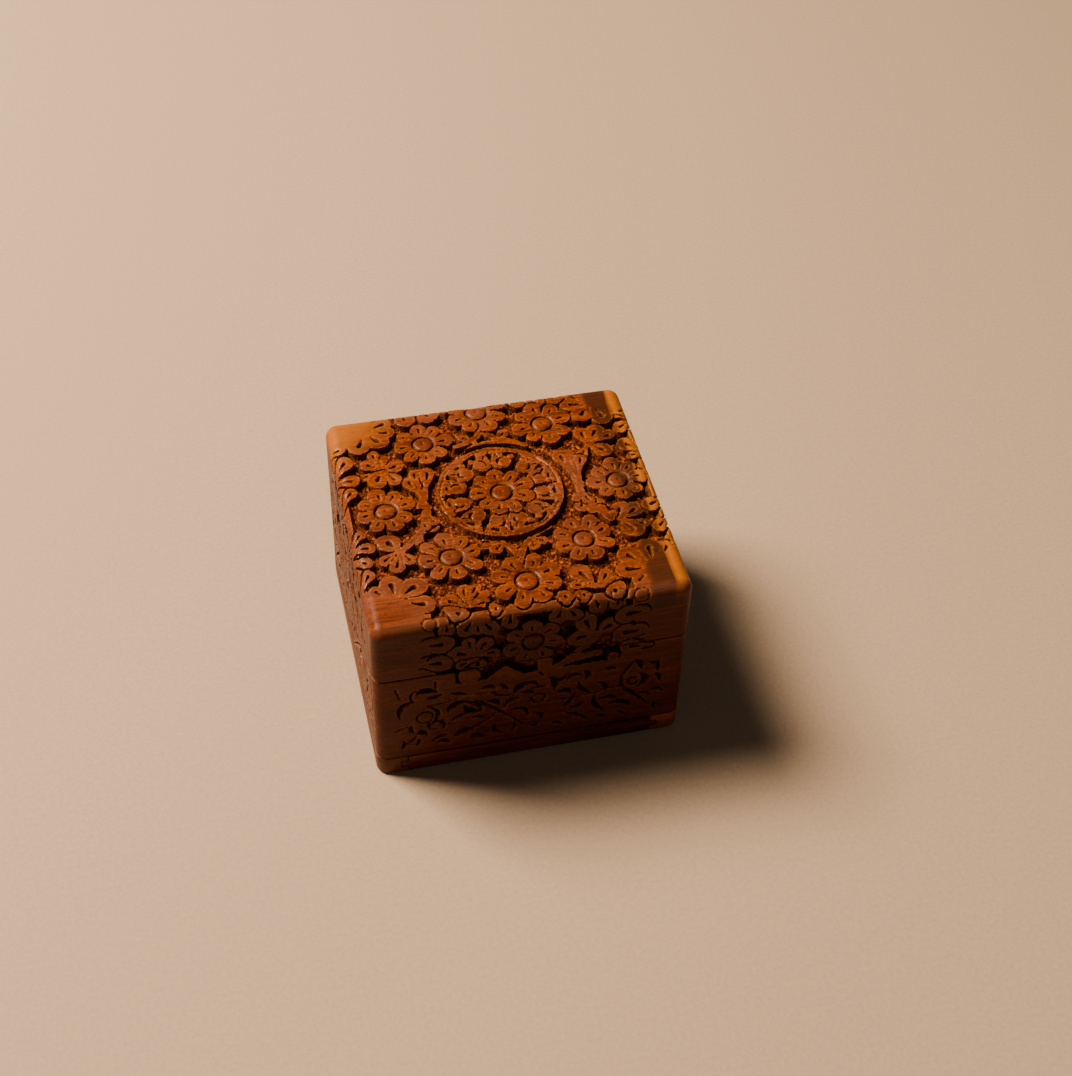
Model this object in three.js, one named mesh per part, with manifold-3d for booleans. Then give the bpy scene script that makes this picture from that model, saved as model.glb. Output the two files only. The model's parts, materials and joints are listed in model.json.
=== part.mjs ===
// Carved wooden puzzle box: a hinged lid, a sliding front panel that hides the keyhole,
// and a sliding bottom board that hides the key.
// Millimetres, +Z up. The origin is the centre of the footprint and the front faces -Y.
import * as THREE from "three";
import { mergeVertices } from "three/addons/utils/BufferGeometryUtils.js";
import Module from "manifold-3d";

const wasm = await Module();
wasm.setup();

// Outside of the closed box
const WIDTH = 102;
const DEPTH = 97;
const HEIGHT = 70;
const CORNER_RADIUS = 4;
const EDGE_RADIUS = 3.6;
const FOOT_RADIUS = 1.2;
const SEAM_Z = 46.5;

// Boards
const WALL = 9;
const LID_BOARD = 8;
const PLINTH = 8;
const PLINTH_RAIL = 10;
const FLOOR_BOARD = 3;
const PANEL = 6;
const INNER_FRONT = 6;
const RUN = 0.3;

// Sliding front panel and the dovetail runner that carries it
const PANEL_TRAVEL = 34;
const RUNNER_LEFT = -14;
const RUNNER_Z = 20;
const RUNNER_DEPTH = 3;
const RUNNER_NARROW = 7;
const RUNNER_WIDE = 9;
const PEG_RADIUS = 1.5;
const PEG_REACH = 2.4;
const PANEL_PEG = { x: 30, z: 34 };

// Sliding bottom board with its key pocket
const SLIDE_TRAVEL = 32;
const SLIDE_LIFT = 0.4;
const TONGUE = { out: 2, low: 2.9, high: 5.2 };
const POCKET = { length: 42, width: 16, y: -32.5, floor: 3.2, corner: 3 };
const SLIDE_PEG = { x: 32, y: 2 };
const THUMB = { length: 22, width: 7, y: -36, depth: 1.2 };

// Brass fittings
const HINGE_XS = [-28, 28];
const HINGE_INSET = 2;
const HINGE_WIDTH = 14;
const KNUCKLE_RADIUS = 1.6;
const KNUCKLE_LENGTH = 4.4;
const BORE_RADIUS = 0.85;
const PIN_RADIUS = 0.7;
const LEAF = 0.9;
const CHAMFER_ANGLE = 50;
const LOCK_X = -26;
const LOCK_WIDTH = 23;
const LOCK_DEPTH = 4.8;
const LOCK_BOTTOM = 28;
const LOCK_SHELL = 0.8;
const KEYHOLE_Z = 35;
const KEYHOLE = { radius: 2, slot: 1.8, drop: 4.7 };
const BOLT = { left: -9.6, right: 5.2, tip: -2.2, heel: 3, low: 37.6, rise: 40.2, thick: 1.2 };
const STAPLE = { width: 2.8, thick: 2, drop: 5.8, hole: 1.8, bar: 0.6 };

// Derived places
const X = WIDTH / 2;
const Y = DEPTH / 2;
const INSIDE_X = X - WALL;
const INSIDE_BACK = Y - WALL;
const BASE_TOP = SEAM_Z - RUN / 2;
const LID_FOOT = SEAM_Z + RUN / 2;
const LID_RAIL_TOP = HEIGHT - LID_BOARD;
const PANEL_BACK = -Y + PANEL;
const FRONT_FACE = PANEL_BACK + RUN;
const INSIDE_FRONT = FRONT_FACE + INNER_FRONT;
const RAIL_INSIDE = X - PLINTH_RAIL;
const SLIDE_BACK = INSIDE_BACK - 1.3;
const HINGE_Y = Y - HINGE_INSET;
const BARREL_FRONT = HINGE_Y - KNUCKLE_RADIUS - 0.4;
const LOCK_FRONT = INSIDE_FRONT - LOCK_DEPTH;
const PAST = 1;

const wood = (color, roughness = 0.5) =>
  new THREE.MeshStandardMaterial({ color, roughness, metalness: 0 });
const brass = () => new THREE.MeshStandardMaterial({ color: 0xb08d4a, roughness: 0.35, metalness: 1 });
const SHEESHAM = 0x8a4a1e;
const HEARTWOOD = 0x5a2412;
const SAPWOOD = 0xb26a2c;
const PLAIN_WOOD = 0x9a6238;

const puzzleBox = new THREE.Group();

// Solid from a closed geometry, placed by an optional matrix
function solid(geometry, matrix) {
  const shape = geometry.clone();
  if (matrix) shape.applyMatrix4(matrix);
  shape.deleteAttribute("normal");
  shape.deleteAttribute("uv");
  const merged = mergeVertices(shape, 1e-4);
  const vertProperties = merged.attributes.position.array;
  const triVerts = new Uint32Array(merged.index.array);
  return new wasm.Manifold(new wasm.Mesh({ numProp: 3, vertProperties, triVerts }));
}

// Block between two corners
function block([x0, y0, z0], [x1, y1, z1]) {
  const geometry = new THREE.BoxGeometry(x1 - x0, y1 - y0, z1 - z0);
  return solid(geometry, new THREE.Matrix4().makeTranslation((x0 + x1) / 2, (y0 + y1) / 2, (z0 + z1) / 2));
}

// Matrix that turns +Z towards a direction and moves the origin to a point
function aim(point, direction) {
  const turn = new THREE.Quaternion().setFromUnitVectors(
    new THREE.Vector3(0, 0, 1),
    new THREE.Vector3(...direction),
  );
  return new THREE.Matrix4().compose(new THREE.Vector3(...point), turn, new THREE.Vector3(1, 1, 1));
}

// Round solid from a half profile of [radius, height] points, turned about its own +Z
function turned(profile, segments, point, direction) {
  const points = profile.map(([radius, height]) => new THREE.Vector2(radius, height));
  const upright = new THREE.Matrix4().makeRotationX(Math.PI / 2);
  return solid(new THREE.LatheGeometry(points, segments), aim(point, direction).multiply(upright));
}

function rod(radius, length, point, direction, segments = 16) {
  return turned([[0, 0], [radius, 0], [radius, length], [0, length]], segments, point, direction);
}

// Straight bar along X with its section given as [y, z] points
function barAlongX(section, x0, x1) {
  const shape = new THREE.Shape(section.map(([y, z]) => new THREE.Vector2(y, z)));
  const geometry = new THREE.ExtrudeGeometry(shape, { depth: x1 - x0, bevelEnabled: false });
  const axes = new THREE.Matrix4().makeBasis(
    new THREE.Vector3(0, 1, 0),
    new THREE.Vector3(0, 0, 1),
    new THREE.Vector3(1, 0, 0),
  );
  return solid(geometry, new THREE.Matrix4().makeTranslation(x0, 0, 0).multiply(axes));
}

function roundedRectangle(halfX, halfY, radius) {
  const outline = new THREE.Shape();
  outline.absarc(halfX - radius, radius - halfY, radius, -Math.PI / 2, 0);
  outline.absarc(halfX - radius, halfY - radius, radius, 0, Math.PI / 2);
  outline.absarc(radius - halfX, halfY - radius, radius, Math.PI / 2, Math.PI);
  outline.absarc(radius - halfX, radius - halfY, radius, Math.PI, 1.5 * Math.PI);
  return outline;
}

// The outer form: rounded upright corners, rounded top edges and slightly eased foot edges
function roundedForm() {
  const outline = roundedRectangle(X, Y, CORNER_RADIUS);
  const bevelled = (radius, low, high) => {
    const geometry = new THREE.ExtrudeGeometry(outline, {
      depth: high - low - 2 * radius,
      bevelThickness: radius,
      bevelSize: radius,
      bevelOffset: -radius,
      bevelSegments: 5,
      curveSegments: 5,
    });
    return solid(geometry, new THREE.Matrix4().makeTranslation(0, 0, low + radius));
  };
  const upper = bevelled(EDGE_RADIUS, -2 * EDGE_RADIUS, HEIGHT);
  const lower = bevelled(FOOT_RADIUS, 0, HEIGHT + 2 * FOOT_RADIUS);
  return upper.intersect(lower);
}

const form = roundedForm();
const outerBoard = (low, high) => form.intersect(block(low, high));

function cut(body, ...tools) {
  return tools.reduce((left, tool) => left.subtract(tool), body);
}

function join(...bodies) {
  return bodies.reduce((sum, next) => sum.add(next));
}

// Adds a solid to the model as one named mesh
function piece(name, body, material) {
  const { vertProperties, triVerts } = body.getMesh();
  const geometry = new THREE.BufferGeometry();
  geometry.setAttribute("position", new THREE.BufferAttribute(new Float32Array(vertProperties), 3));
  geometry.setIndex(new THREE.BufferAttribute(new Uint32Array(triVerts), 1));
  geometry.computeVertexNormals();
  const mesh = new THREE.Mesh(geometry, material);
  mesh.name = name;
  puzzleBox.add(mesh);
}

// Countersunk slotted screw: the head lies in its plate and the shank goes along the direction
const SCREW = { head: 1.5, shank: 0.7, sink: 0.9, length: 6, slot: 0.35, slotDepth: 0.3 };
const DRILL_EASE = 0.1;

function screwBody(point, direction, ease = 0) {
  const { head, shank, sink, length } = SCREW;
  const rim = ease > 0 ? -ease : 0;
  const profile = [
    [0, rim],
    [head + ease, rim],
    [head + ease, 0.1],
    [shank + ease, sink],
    [shank + ease, length - 1],
    [0, length + ease],
  ];
  return turned(profile, 12, point, direction);
}

function screw(name, point, direction) {
  const { head, slot, slotDepth } = SCREW;
  const slotBlock = new THREE.BoxGeometry(2 * head + PAST, 2 * slot, 2 * slotDepth);
  piece(name, cut(screwBody(point, direction), solid(slotBlock, aim(point, direction))), brass());
}

const drill = (point, direction) => screwBody(point, direction, DRILL_EASE);

// Hinges: the base half (side -1) lies in the back wall, the lid half (side +1) in the lid's back rail
const leafFace = (side) => SEAM_Z + (side * RUN) / 2;
const screwXs = (x) => [x - 4.2, x + 4.2];
const LEAF_SCREW_Y = (INSIDE_BACK + BARREL_FRONT) / 2;

function leafPocket(x, side) {
  const near = leafFace(side);
  const far = near + side * LEAF;
  const half = HINGE_WIDTH / 2;
  const low = Math.min(near - side * PAST, far);
  const high = Math.max(near - side * PAST, far);
  return block([x - half, INSIDE_BACK - PAST, low], [x + half, BARREL_FRONT, high]);
}

function barrelNotch(x, side) {
  const half = HINGE_WIDTH / 2 + RUN;
  const reach = side * (KNUCKLE_RADIUS + 0.5);
  const low = Math.min(SEAM_Z - side * PAST, SEAM_Z + reach);
  const high = Math.max(SEAM_Z - side * PAST, SEAM_Z + reach);
  return block([x - half, BARREL_FRONT, low], [x + half, Y + PAST, high]);
}

function hingeLeaf(x, side) {
  const near = leafFace(side);
  const far = near + side * LEAF;
  const low = Math.min(near, far);
  const high = Math.max(near, far);
  const half = HINGE_WIDTH / 2;
  const middle = HINGE_WIDTH / 2 - KNUCKLE_LENGTH - RUN;
  const outerSpans = [[-half, KNUCKLE_LENGTH - half], [half - KNUCKLE_LENGTH, half]];
  const spans = side > 0 ? [[-middle, middle]] : outerSpans;
  const plate = block([x - half, INSIDE_BACK, low], [x + half, BARREL_FRONT, high]);
  const knuckles = spans.map(([from, to]) => {
    const tongue = block([x + from, BARREL_FRONT, low], [x + to, HINGE_Y, high]);
    const barrel = rod(KNUCKLE_RADIUS, to - from, [x + from, HINGE_Y, SEAM_Z], [1, 0, 0]);
    return join(tongue, barrel);
  });
  const bore = rod(BORE_RADIUS, HINGE_WIDTH + 2 * PAST, [x - half - PAST, HINGE_Y, SEAM_Z], [1, 0, 0]);
  const holes = screwXs(x).map((at) => drill([at, LEAF_SCREW_Y, near], [0, 0, side]));
  return cut(join(plate, ...knuckles), bore, ...holes);
}

function hingeCuts(side) {
  return HINGE_XS.flatMap((x) => [
    leafPocket(x, side),
    barrelNotch(x, side),
    ...screwXs(x).map((at) => drill([at, LEAF_SCREW_Y, leafFace(side)], [0, 0, side])),
  ]);
}

// The V along the back of the seam that lets the lid swing past upright
function backChamfer(side) {
  const start = HINGE_Y - RUN / 2;
  const end = Y + PAST;
  const fall = (end - start) * Math.tan(THREE.MathUtils.degToRad(CHAMFER_ANGLE));
  const section = [[start, SEAM_Z], [end, SEAM_Z - side * PAST], [end, SEAM_Z + side * fall]];
  return barAlongX(side > 0 ? section : section.reverse(), -X - PAST, X + PAST);
}

function hinges() {
  HINGE_XS.forEach((x, index) => {
    const hand = index === 0 ? "left" : "right";
    piece(`${hand}_hinge_base_leaf`, hingeLeaf(x, -1), brass());
    piece(`${hand}_hinge_lid_leaf`, hingeLeaf(x, 1), brass());
    const pinLength = HINGE_WIDTH - 0.6;
    piece(
      `${hand}_hinge_pin`,
      rod(PIN_RADIUS, pinLength, [x - pinLength / 2, HINGE_Y, SEAM_Z], [1, 0, 0], 12),
      brass(),
    );
    screwXs(x).forEach((at, number) => {
      screw(`${hand}_hinge_base_screw_${number + 1}`, [at, LEAF_SCREW_Y, leafFace(-1)], [0, 0, -1]);
      screw(`${hand}_hinge_lid_screw_${number + 1}`, [at, LEAF_SCREW_Y, leafFace(1)], [0, 0, 1]);
    });
  });
}

// Lock: a cased bolt let into the inner front from behind
const LOCK_LEFT = LOCK_X - LOCK_WIDTH / 2;
const LOCK_RIGHT = LOCK_X + LOCK_WIDTH / 2;
const COVER = { ear: 4.2, thick: 0.8 };
const coverScrews = [-1, 1].flatMap((side) =>
  [LOCK_BOTTOM + 3, BASE_TOP - 3].map((z) => [
    LOCK_X + side * (LOCK_WIDTH / 2 + COVER.ear / 2),
    INSIDE_FRONT + COVER.thick,
    z,
  ]),
);
const ESCUTCHEON_RADIUS = 6.3;
const STAPLE_Y = INSIDE_FRONT - 2.5;
const LINK = { half: 9.5, thick: 1 };

function keyhole(front, back, ease = 0) {
  const width = KEYHOLE.slot / 2 + ease;
  const round = rod(KEYHOLE.radius + ease, back - front, [LOCK_X, front, KEYHOLE_Z], [0, 1, 0]);
  const slot = block(
    [LOCK_X - width, front, KEYHOLE_Z - KEYHOLE.drop],
    [LOCK_X + width, back, KEYHOLE_Z],
  );
  return join(round, slot);
}

function lock() {
  const shell = block([LOCK_LEFT, LOCK_FRONT, LOCK_BOTTOM], [LOCK_RIGHT, INSIDE_FRONT, BASE_TOP]);
  const room = block(
    [LOCK_LEFT + LOCK_SHELL, LOCK_FRONT + LOCK_SHELL, LOCK_BOTTOM + LOCK_SHELL],
    [LOCK_RIGHT - LOCK_SHELL, INSIDE_FRONT + PAST, BASE_TOP - LOCK_SHELL],
  );
  const mouth = block(
    [LOCK_X - STAPLE.thick / 2 - 0.6, STAPLE_Y - STAPLE.width / 2 - 0.4, BASE_TOP - 2 * LOCK_SHELL],
    [LOCK_X + STAPLE.thick / 2 + 0.6, INSIDE_FRONT + PAST, BASE_TOP + PAST],
  );
  piece("lock_case", cut(shell, room, mouth, keyhole(LOCK_FRONT - PAST, LOCK_FRONT + 2)), brass());

  const cover = block(
    [LOCK_LEFT - COVER.ear, INSIDE_FRONT, LOCK_BOTTOM],
    [LOCK_RIGHT + COVER.ear, INSIDE_FRONT + COVER.thick, BASE_TOP],
  );
  piece("lock_cover", cut(cover, ...coverScrews.map((at) => drill(at, [0, -1, 0]))), brass());
  coverScrews.forEach((at, index) => screw(`lock_screw_${index + 1}`, at, [0, -1, 0]));

  const postLength = LOCK_DEPTH - LOCK_SHELL;
  piece("key_post", rod(0.8, postLength, [LOCK_X, INSIDE_FRONT, KEYHOLE_Z], [0, -1, 0], 12), brass());

  const discThickness = LOCK_FRONT - FRONT_FACE;
  const disc = rod(ESCUTCHEON_RADIUS - 0.1, discThickness, [LOCK_X, FRONT_FACE, KEYHOLE_Z], [0, 1, 0], 32);
  piece("escutcheon", cut(disc, keyhole(FRONT_FACE - PAST, LOCK_FRONT + PAST)), brass());
}

function lockBolt() {
  const { heel, low, rise, thick } = BOLT;
  const [left, right, tip] = [BOLT.left, BOLT.right, BOLT.tip].map((offset) => LOCK_X + offset);
  const y0 = STAPLE_Y - thick / 2;
  const y1 = STAPLE_Y + thick / 2;
  const tongueLow = SEAM_Z - STAPLE.drop + STAPLE.bar + 0.3;
  const foot = block([left, y0, low], [right, y1, rise]);
  const tongueTop = tongueLow + 2.4;
  const upright = block([left, y0, low], [left + heel, y1, tongueTop]);
  const tongue = block([left, y0, tongueLow], [tip, y1, tongueTop]);
  const talon = block([LOCK_X - 1.4, y0 - PAST, low - PAST], [LOCK_X + 1.4, y1 + PAST, low + 1.4]);
  piece("lock_bolt", cut(join(foot, upright, tongue), talon), brass());
}

function linkPlate() {
  const { width, thick, drop, hole, bar } = STAPLE;
  const plate = block(
    [LOCK_X - LINK.half, LOCK_FRONT, LID_FOOT],
    [LOCK_X + LINK.half, INSIDE_FRONT, LID_FOOT + LINK.thick],
  );
  const loop = block(
    [LOCK_X - thick / 2, STAPLE_Y - width / 2, SEAM_Z - drop],
    [LOCK_X + thick / 2, STAPLE_Y + width / 2, LID_FOOT],
  );
  const eye = block(
    [LOCK_X - thick, STAPLE_Y - hole / 2, SEAM_Z - drop + bar],
    [LOCK_X + thick, STAPLE_Y + hole / 2, SEAM_Z - drop + bar + 3],
  );
  const points = linkScrews();
  const holes = points.map((at) => drill(at, [0, 0, 1]));
  piece("link_plate", cut(join(plate, loop), eye, ...holes), brass());
  points.forEach((at, index) => screw(`link_screw_${index + 1}`, at, [0, 0, 1]));
}

function linkScrews() {
  return [-6.5, 6.5].map((offset) => [LOCK_X + offset, STAPLE_Y, LID_FOOT]);
}

// Fixed base
const pegHole = (reach, ease = DRILL_EASE) =>
  rod(PEG_RADIUS + ease, reach, [PANEL_PEG.x, INSIDE_FRONT, PANEL_PEG.z], [0, -1, 0], 12);

function runnerSection(ease) {
  const narrow = RUNNER_NARROW / 2 + ease;
  const wide = RUNNER_WIDE / 2 + ease;
  const outer = FRONT_FACE - RUNNER_DEPTH - ease;
  return [
    [FRONT_FACE, RUNNER_Z - narrow],
    [FRONT_FACE, RUNNER_Z + narrow],
    [outer, RUNNER_Z + wide],
    [outer, RUNNER_Z - wide],
  ];
}

function base() {
  const sides = [["left", -X, -INSIDE_X], ["right", INSIDE_X, X]];
  for (const [hand, x0, x1] of sides) {
    const wall = outerBoard([x0, FRONT_FACE, PLINTH], [x1, Y, BASE_TOP]);
    piece(`${hand}_wall`, cut(wall, backChamfer(-1)), wood(SHEESHAM));
  }
  const back = outerBoard([-INSIDE_X, INSIDE_BACK, PLINTH], [INSIDE_X, Y, BASE_TOP]);
  piece("back_wall", cut(back, backChamfer(-1), ...hingeCuts(-1)), wood(SHEESHAM));

  const inner = block([-INSIDE_X, FRONT_FACE, PLINTH], [INSIDE_X, INSIDE_FRONT, BASE_TOP]);
  const lockRoom = block([LOCK_LEFT, LOCK_FRONT, LOCK_BOTTOM], [LOCK_RIGHT, Y, HEIGHT]);
  const discHole = rod(ESCUTCHEON_RADIUS, 3, [LOCK_X, FRONT_FACE - PAST, KEYHOLE_Z], [0, 1, 0], 32);
  const screwHoles = coverScrews.map((at) => drill(at, [0, -1, 0]));
  const innerFront = cut(inner, lockRoom, discHole, pegHole(INNER_FRONT + PAST), ...screwHoles);
  piece("inner_front", innerFront, wood(PLAIN_WOOD));
  piece("panel_stop_peg", pegHole(INNER_FRONT + PEG_REACH, 0), wood(SAPWOOD));
  piece("panel_runner", form.intersect(barAlongX(runnerSection(0), RUNNER_LEFT, X)), wood(SAPWOOD));

  const boardTop = PLINTH + FLOOR_BOARD;
  const floor = block([-INSIDE_X, INSIDE_FRONT, PLINTH], [INSIDE_X, INSIDE_BACK, boardTop]);
  piece("floor_board", cut(floor, slidePeg(FLOOR_BOARD + PAST, DRILL_EASE)), wood(PLAIN_WOOD));
  piece("slide_stop_peg", slidePeg(FLOOR_BOARD + PEG_REACH), wood(SAPWOOD));
}

function slidePeg(reach, ease = 0) {
  const top = PLINTH + FLOOR_BOARD;
  return rod(PEG_RADIUS + ease, reach, [SLIDE_PEG.x, SLIDE_PEG.y, top], [0, 0, -1], 12);
}

function plinth() {
  const grooveEase = 0.25;
  for (const [hand, side] of [["left", -1], ["right", 1]]) {
    const x0 = Math.min(side * RAIL_INSIDE, side * X);
    const groove = [
      side * (RAIL_INSIDE - PAST),
      side * (RAIL_INSIDE + TONGUE.out + RUN),
    ].sort((a, b) => a - b);
    const slot = block(
      [groove[0], -Y - PAST, TONGUE.low - grooveEase],
      [groove[1], SLIDE_BACK + RUN, TONGUE.high + grooveEase],
    );
    const rail = outerBoard([x0, -Y, 0], [x0 + PLINTH_RAIL, Y, PLINTH]);
    piece(`${hand}_plinth_rail`, cut(rail, slot), wood(SAPWOOD));
  }
  const backRail = outerBoard([-RAIL_INSIDE, SLIDE_BACK + RUN, 0], [RAIL_INSIDE, Y, PLINTH]);
  piece("back_plinth_rail", backRail, wood(SAPWOOD));
}

// Moving wooden pieces
function frontPanel() {
  const panel = outerBoard([-X, -Y, PLINTH + RUN], [X, PANEL_BACK, BASE_TOP]);
  const grooveLeft = RUNNER_LEFT - PANEL_TRAVEL - RUN;
  const section = runnerSection(RUN);
  section[0][0] += PAST;
  section[1][0] += PAST;
  const groove = barAlongX(section, grooveLeft, X + PAST);
  const half = PEG_RADIUS + RUN;
  const slot = block(
    [PANEL_PEG.x - PANEL_TRAVEL - half, PANEL_BACK - PEG_REACH, PANEL_PEG.z - half],
    [PANEL_PEG.x + half, PANEL_BACK + PAST, PANEL_PEG.z + half],
  );
  piece("front_panel", cut(panel, groove, slot), wood(SHEESHAM));
}

function bottomSlide() {
  const top = PLINTH - RUN;
  const board = outerBoard([RUN - RAIL_INSIDE, -Y, SLIDE_LIFT], [RAIL_INSIDE - RUN, SLIDE_BACK, top]);
  const tongueX = RAIL_INSIDE + TONGUE.out;
  const tongues = outerBoard([-tongueX, -Y, TONGUE.low], [tongueX, SLIDE_BACK, TONGUE.high]);
  const outline = roundedRectangle(POCKET.length / 2, POCKET.width / 2, POCKET.corner);
  const pocketShape = new THREE.ExtrudeGeometry(outline, {
    depth: PLINTH,
    bevelEnabled: false,
    curveSegments: 3,
  });
  const pocket = solid(pocketShape, new THREE.Matrix4().makeTranslation(0, POCKET.y, POCKET.floor));
  const half = PEG_RADIUS + RUN;
  const slot = block(
    [SLIDE_PEG.x - half, SLIDE_PEG.y - half, PLINTH - PEG_REACH - RUN],
    [SLIDE_PEG.x + half, SLIDE_PEG.y + SLIDE_TRAVEL + half, PLINTH + PAST],
  );
  const thumb = block(
    [-THUMB.length / 2, THUMB.y - THUMB.width / 2, -PAST],
    [THUMB.length / 2, THUMB.y + THUMB.width / 2, SLIDE_LIFT + THUMB.depth],
  );
  piece("bottom_slide", cut(join(board, tongues), pocket, slot, thumb), wood(HEARTWOOD));
}

// Key: ring bow, hollow shank and a single bit, lying along X in the pocket
function key() {
  const shank = { radius: 1.5, bore: 0.95, length: 25 };
  const bow = { outer: 6, inner: 3.8, thick: 2 };
  const bit = { wide: 4.2, drop: 4.3, thick: 1.5 };
  const collarRadius = shank.radius + 0.4;
  const centreZ = POCKET.floor + RUN + collarRadius;
  const bowX = POCKET.length / 2 - bow.outer - 2;
  const shankStart = bowX - bow.inner - 0.6;
  const tip = shankStart - shank.length;
  const at = (x, z = centreZ) => [x, POCKET.y, z];
  const ring = cut(
    rod(bow.outer, bow.thick, at(bowX, centreZ - bow.thick / 2), [0, 0, 1], 32),
    rod(bow.inner, bow.thick + 2 * PAST, at(bowX, centreZ - bow.thick / 2 - PAST), [0, 0, 1], 32),
  );
  const stem = rod(shank.radius, shank.length, at(tip), [1, 0, 0]);
  const collar = rod(collarRadius, 1.6, at(shankStart - 3), [1, 0, 0]);
  const blade = block(
    [tip + 1, POCKET.y - bit.drop, centreZ - bit.thick / 2],
    [tip + 1 + bit.wide, POCKET.y, centreZ + bit.thick / 2],
  );
  const notch = block(
    [tip + 2.6, POCKET.y - bit.drop - PAST, centreZ - bit.thick],
    [tip + 3.5, POCKET.y - bit.drop + 1.2, centreZ + bit.thick],
  );
  const hollow = rod(shank.bore, 9, at(tip - PAST), [1, 0, 0], 12);
  piece("key", cut(join(ring, stem, collar, blade), notch, hollow), brass());
}

// Lid
function lid() {
  piece("lid_top", outerBoard([-X, -Y, LID_RAIL_TOP], [X, Y, HEIGHT]), wood(SHEESHAM));
  const sides = [["left", -X, -INSIDE_X], ["right", INSIDE_X, X]];
  for (const [hand, x0, x1] of sides) {
    const rail = outerBoard([x0, INSIDE_FRONT, LID_FOOT], [x1, Y, LID_RAIL_TOP]);
    piece(`lid_${hand}_rail`, cut(rail, backChamfer(1)), wood(SHEESHAM));
  }
  const back = outerBoard([-INSIDE_X, INSIDE_BACK, LID_FOOT], [INSIDE_X, Y, LID_RAIL_TOP]);
  piece("lid_back_rail", cut(back, backChamfer(1), ...hingeCuts(1)), wood(SHEESHAM));

  const front = outerBoard([-X, -Y, LID_FOOT], [X, INSIDE_FRONT, LID_RAIL_TOP]);
  const linkRoom = block(
    [LOCK_X - LINK.half, LOCK_FRONT, SEAM_Z - PAST],
    [LOCK_X + LINK.half, INSIDE_FRONT + PAST, LID_FOOT + LINK.thick],
  );
  const holes = linkScrews().map((at) => drill(at, [0, 0, 1]));
  piece("lid_front_rail", cut(front, linkRoom, ...holes), wood(SHEESHAM));
}

base();
plinth();
lock();
lockBolt();
frontPanel();
bottomSlide();
key();
lid();
linkPlate();
hinges();

export default puzzleBox;
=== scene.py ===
# The looks of the carved puzzle box: the relief is cut into the CAD boards, and every piece gets its finish.
import json
import math

import bmesh
import bpy
import numpy as np
from mathutils import Matrix, Vector


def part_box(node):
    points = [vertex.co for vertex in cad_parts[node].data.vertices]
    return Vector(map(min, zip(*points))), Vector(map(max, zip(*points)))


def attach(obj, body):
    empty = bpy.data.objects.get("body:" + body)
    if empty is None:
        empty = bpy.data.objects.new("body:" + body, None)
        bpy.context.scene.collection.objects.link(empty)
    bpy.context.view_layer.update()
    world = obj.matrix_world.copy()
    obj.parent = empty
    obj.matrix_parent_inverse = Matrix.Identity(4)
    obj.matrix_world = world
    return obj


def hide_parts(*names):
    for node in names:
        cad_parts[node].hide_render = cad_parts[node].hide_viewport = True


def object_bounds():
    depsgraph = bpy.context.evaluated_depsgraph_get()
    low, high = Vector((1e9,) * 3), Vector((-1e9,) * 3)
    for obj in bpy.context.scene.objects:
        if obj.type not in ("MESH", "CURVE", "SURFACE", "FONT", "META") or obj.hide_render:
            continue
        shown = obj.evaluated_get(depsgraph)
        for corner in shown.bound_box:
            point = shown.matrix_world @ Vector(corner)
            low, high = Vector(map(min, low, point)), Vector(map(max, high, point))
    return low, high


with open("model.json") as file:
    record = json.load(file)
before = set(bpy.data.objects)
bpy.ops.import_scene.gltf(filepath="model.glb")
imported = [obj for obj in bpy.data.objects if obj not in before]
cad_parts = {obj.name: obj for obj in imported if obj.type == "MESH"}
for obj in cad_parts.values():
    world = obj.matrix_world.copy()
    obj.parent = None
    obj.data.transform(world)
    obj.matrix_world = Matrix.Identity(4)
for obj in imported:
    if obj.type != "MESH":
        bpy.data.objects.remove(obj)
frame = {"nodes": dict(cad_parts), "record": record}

CAD_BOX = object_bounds()
MM = 0.001

# ---------------------------------------------------------------- the box, in millimetres
HALF_X = CAD_BOX[1].x / MM
HALF_Y = CAD_BOX[1].y / MM
TOP = CAD_BOX[1].z / MM
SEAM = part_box("lid_front_rail")[0].z / MM
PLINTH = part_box("left_wall")[0].z / MM
ROUND = 4.0                       # radius of the carved skin's edges
INSET = 0.08                      # the skin lies this far inside the faceted CAD boards
FLAT_X = HALF_X - ROUND
FLAT_Y = HALF_Y - ROUND
FLAT_TOP = TOP - ROUND
EIGHTH_TURN = ROUND * math.pi / 4
SKIN_FOOT = -2.0                  # the skin runs on below the foot, where the boards end it
CELL = 0.36                       # step of the carved skin's grid
GROUND = 2.4                      # depth of the cleared ground
WALL_WIDTH = 0.24                 # width of the sloping wall from the pattern's edge to the ground
BANK = 0.24                       # width of the sloping wall inside a slot
EASE = 0.18                       # how far the pattern's edges are rubbed down
EASE_WIDTH = 0.55
SEAM_GROOVE = 0.32                # half width of the worn groove along the lid's seam
SEAM_DEPTH = 0.62
FAR = 50.0
LEAF_WIDTH = 1.2                  # leaves are this much wider than their lists say


# ---------------------------------------------------------------- small maths
def smooth(t):
    t = np.clip(t, 0.0, 1.0)
    return t * t * (3.0 - 2.0 * t)


def lattice(seed, size=64):
    return np.random.default_rng(seed).uniform(-1.0, 1.0, (size, size))


def noise(p, q, scale, seed):
    """Smooth value noise in -1..1 with features about `scale` across."""
    table = lattice(seed)
    size = len(table)
    u, v = p / scale + 500.0, q / scale + 500.0
    i, j = np.floor(u).astype(int), np.floor(v).astype(int)
    a, b = smooth(u - i), smooth(v - j)
    i0, i1, j0, j1 = i % size, (i + 1) % size, j % size, (j + 1) % size
    low = table[i0, j0] * (1 - a) + table[i1, j0] * a
    high = table[i0, j1] * (1 - a) + table[i1, j1] * a
    return low * (1 - b) + high * b


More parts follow.
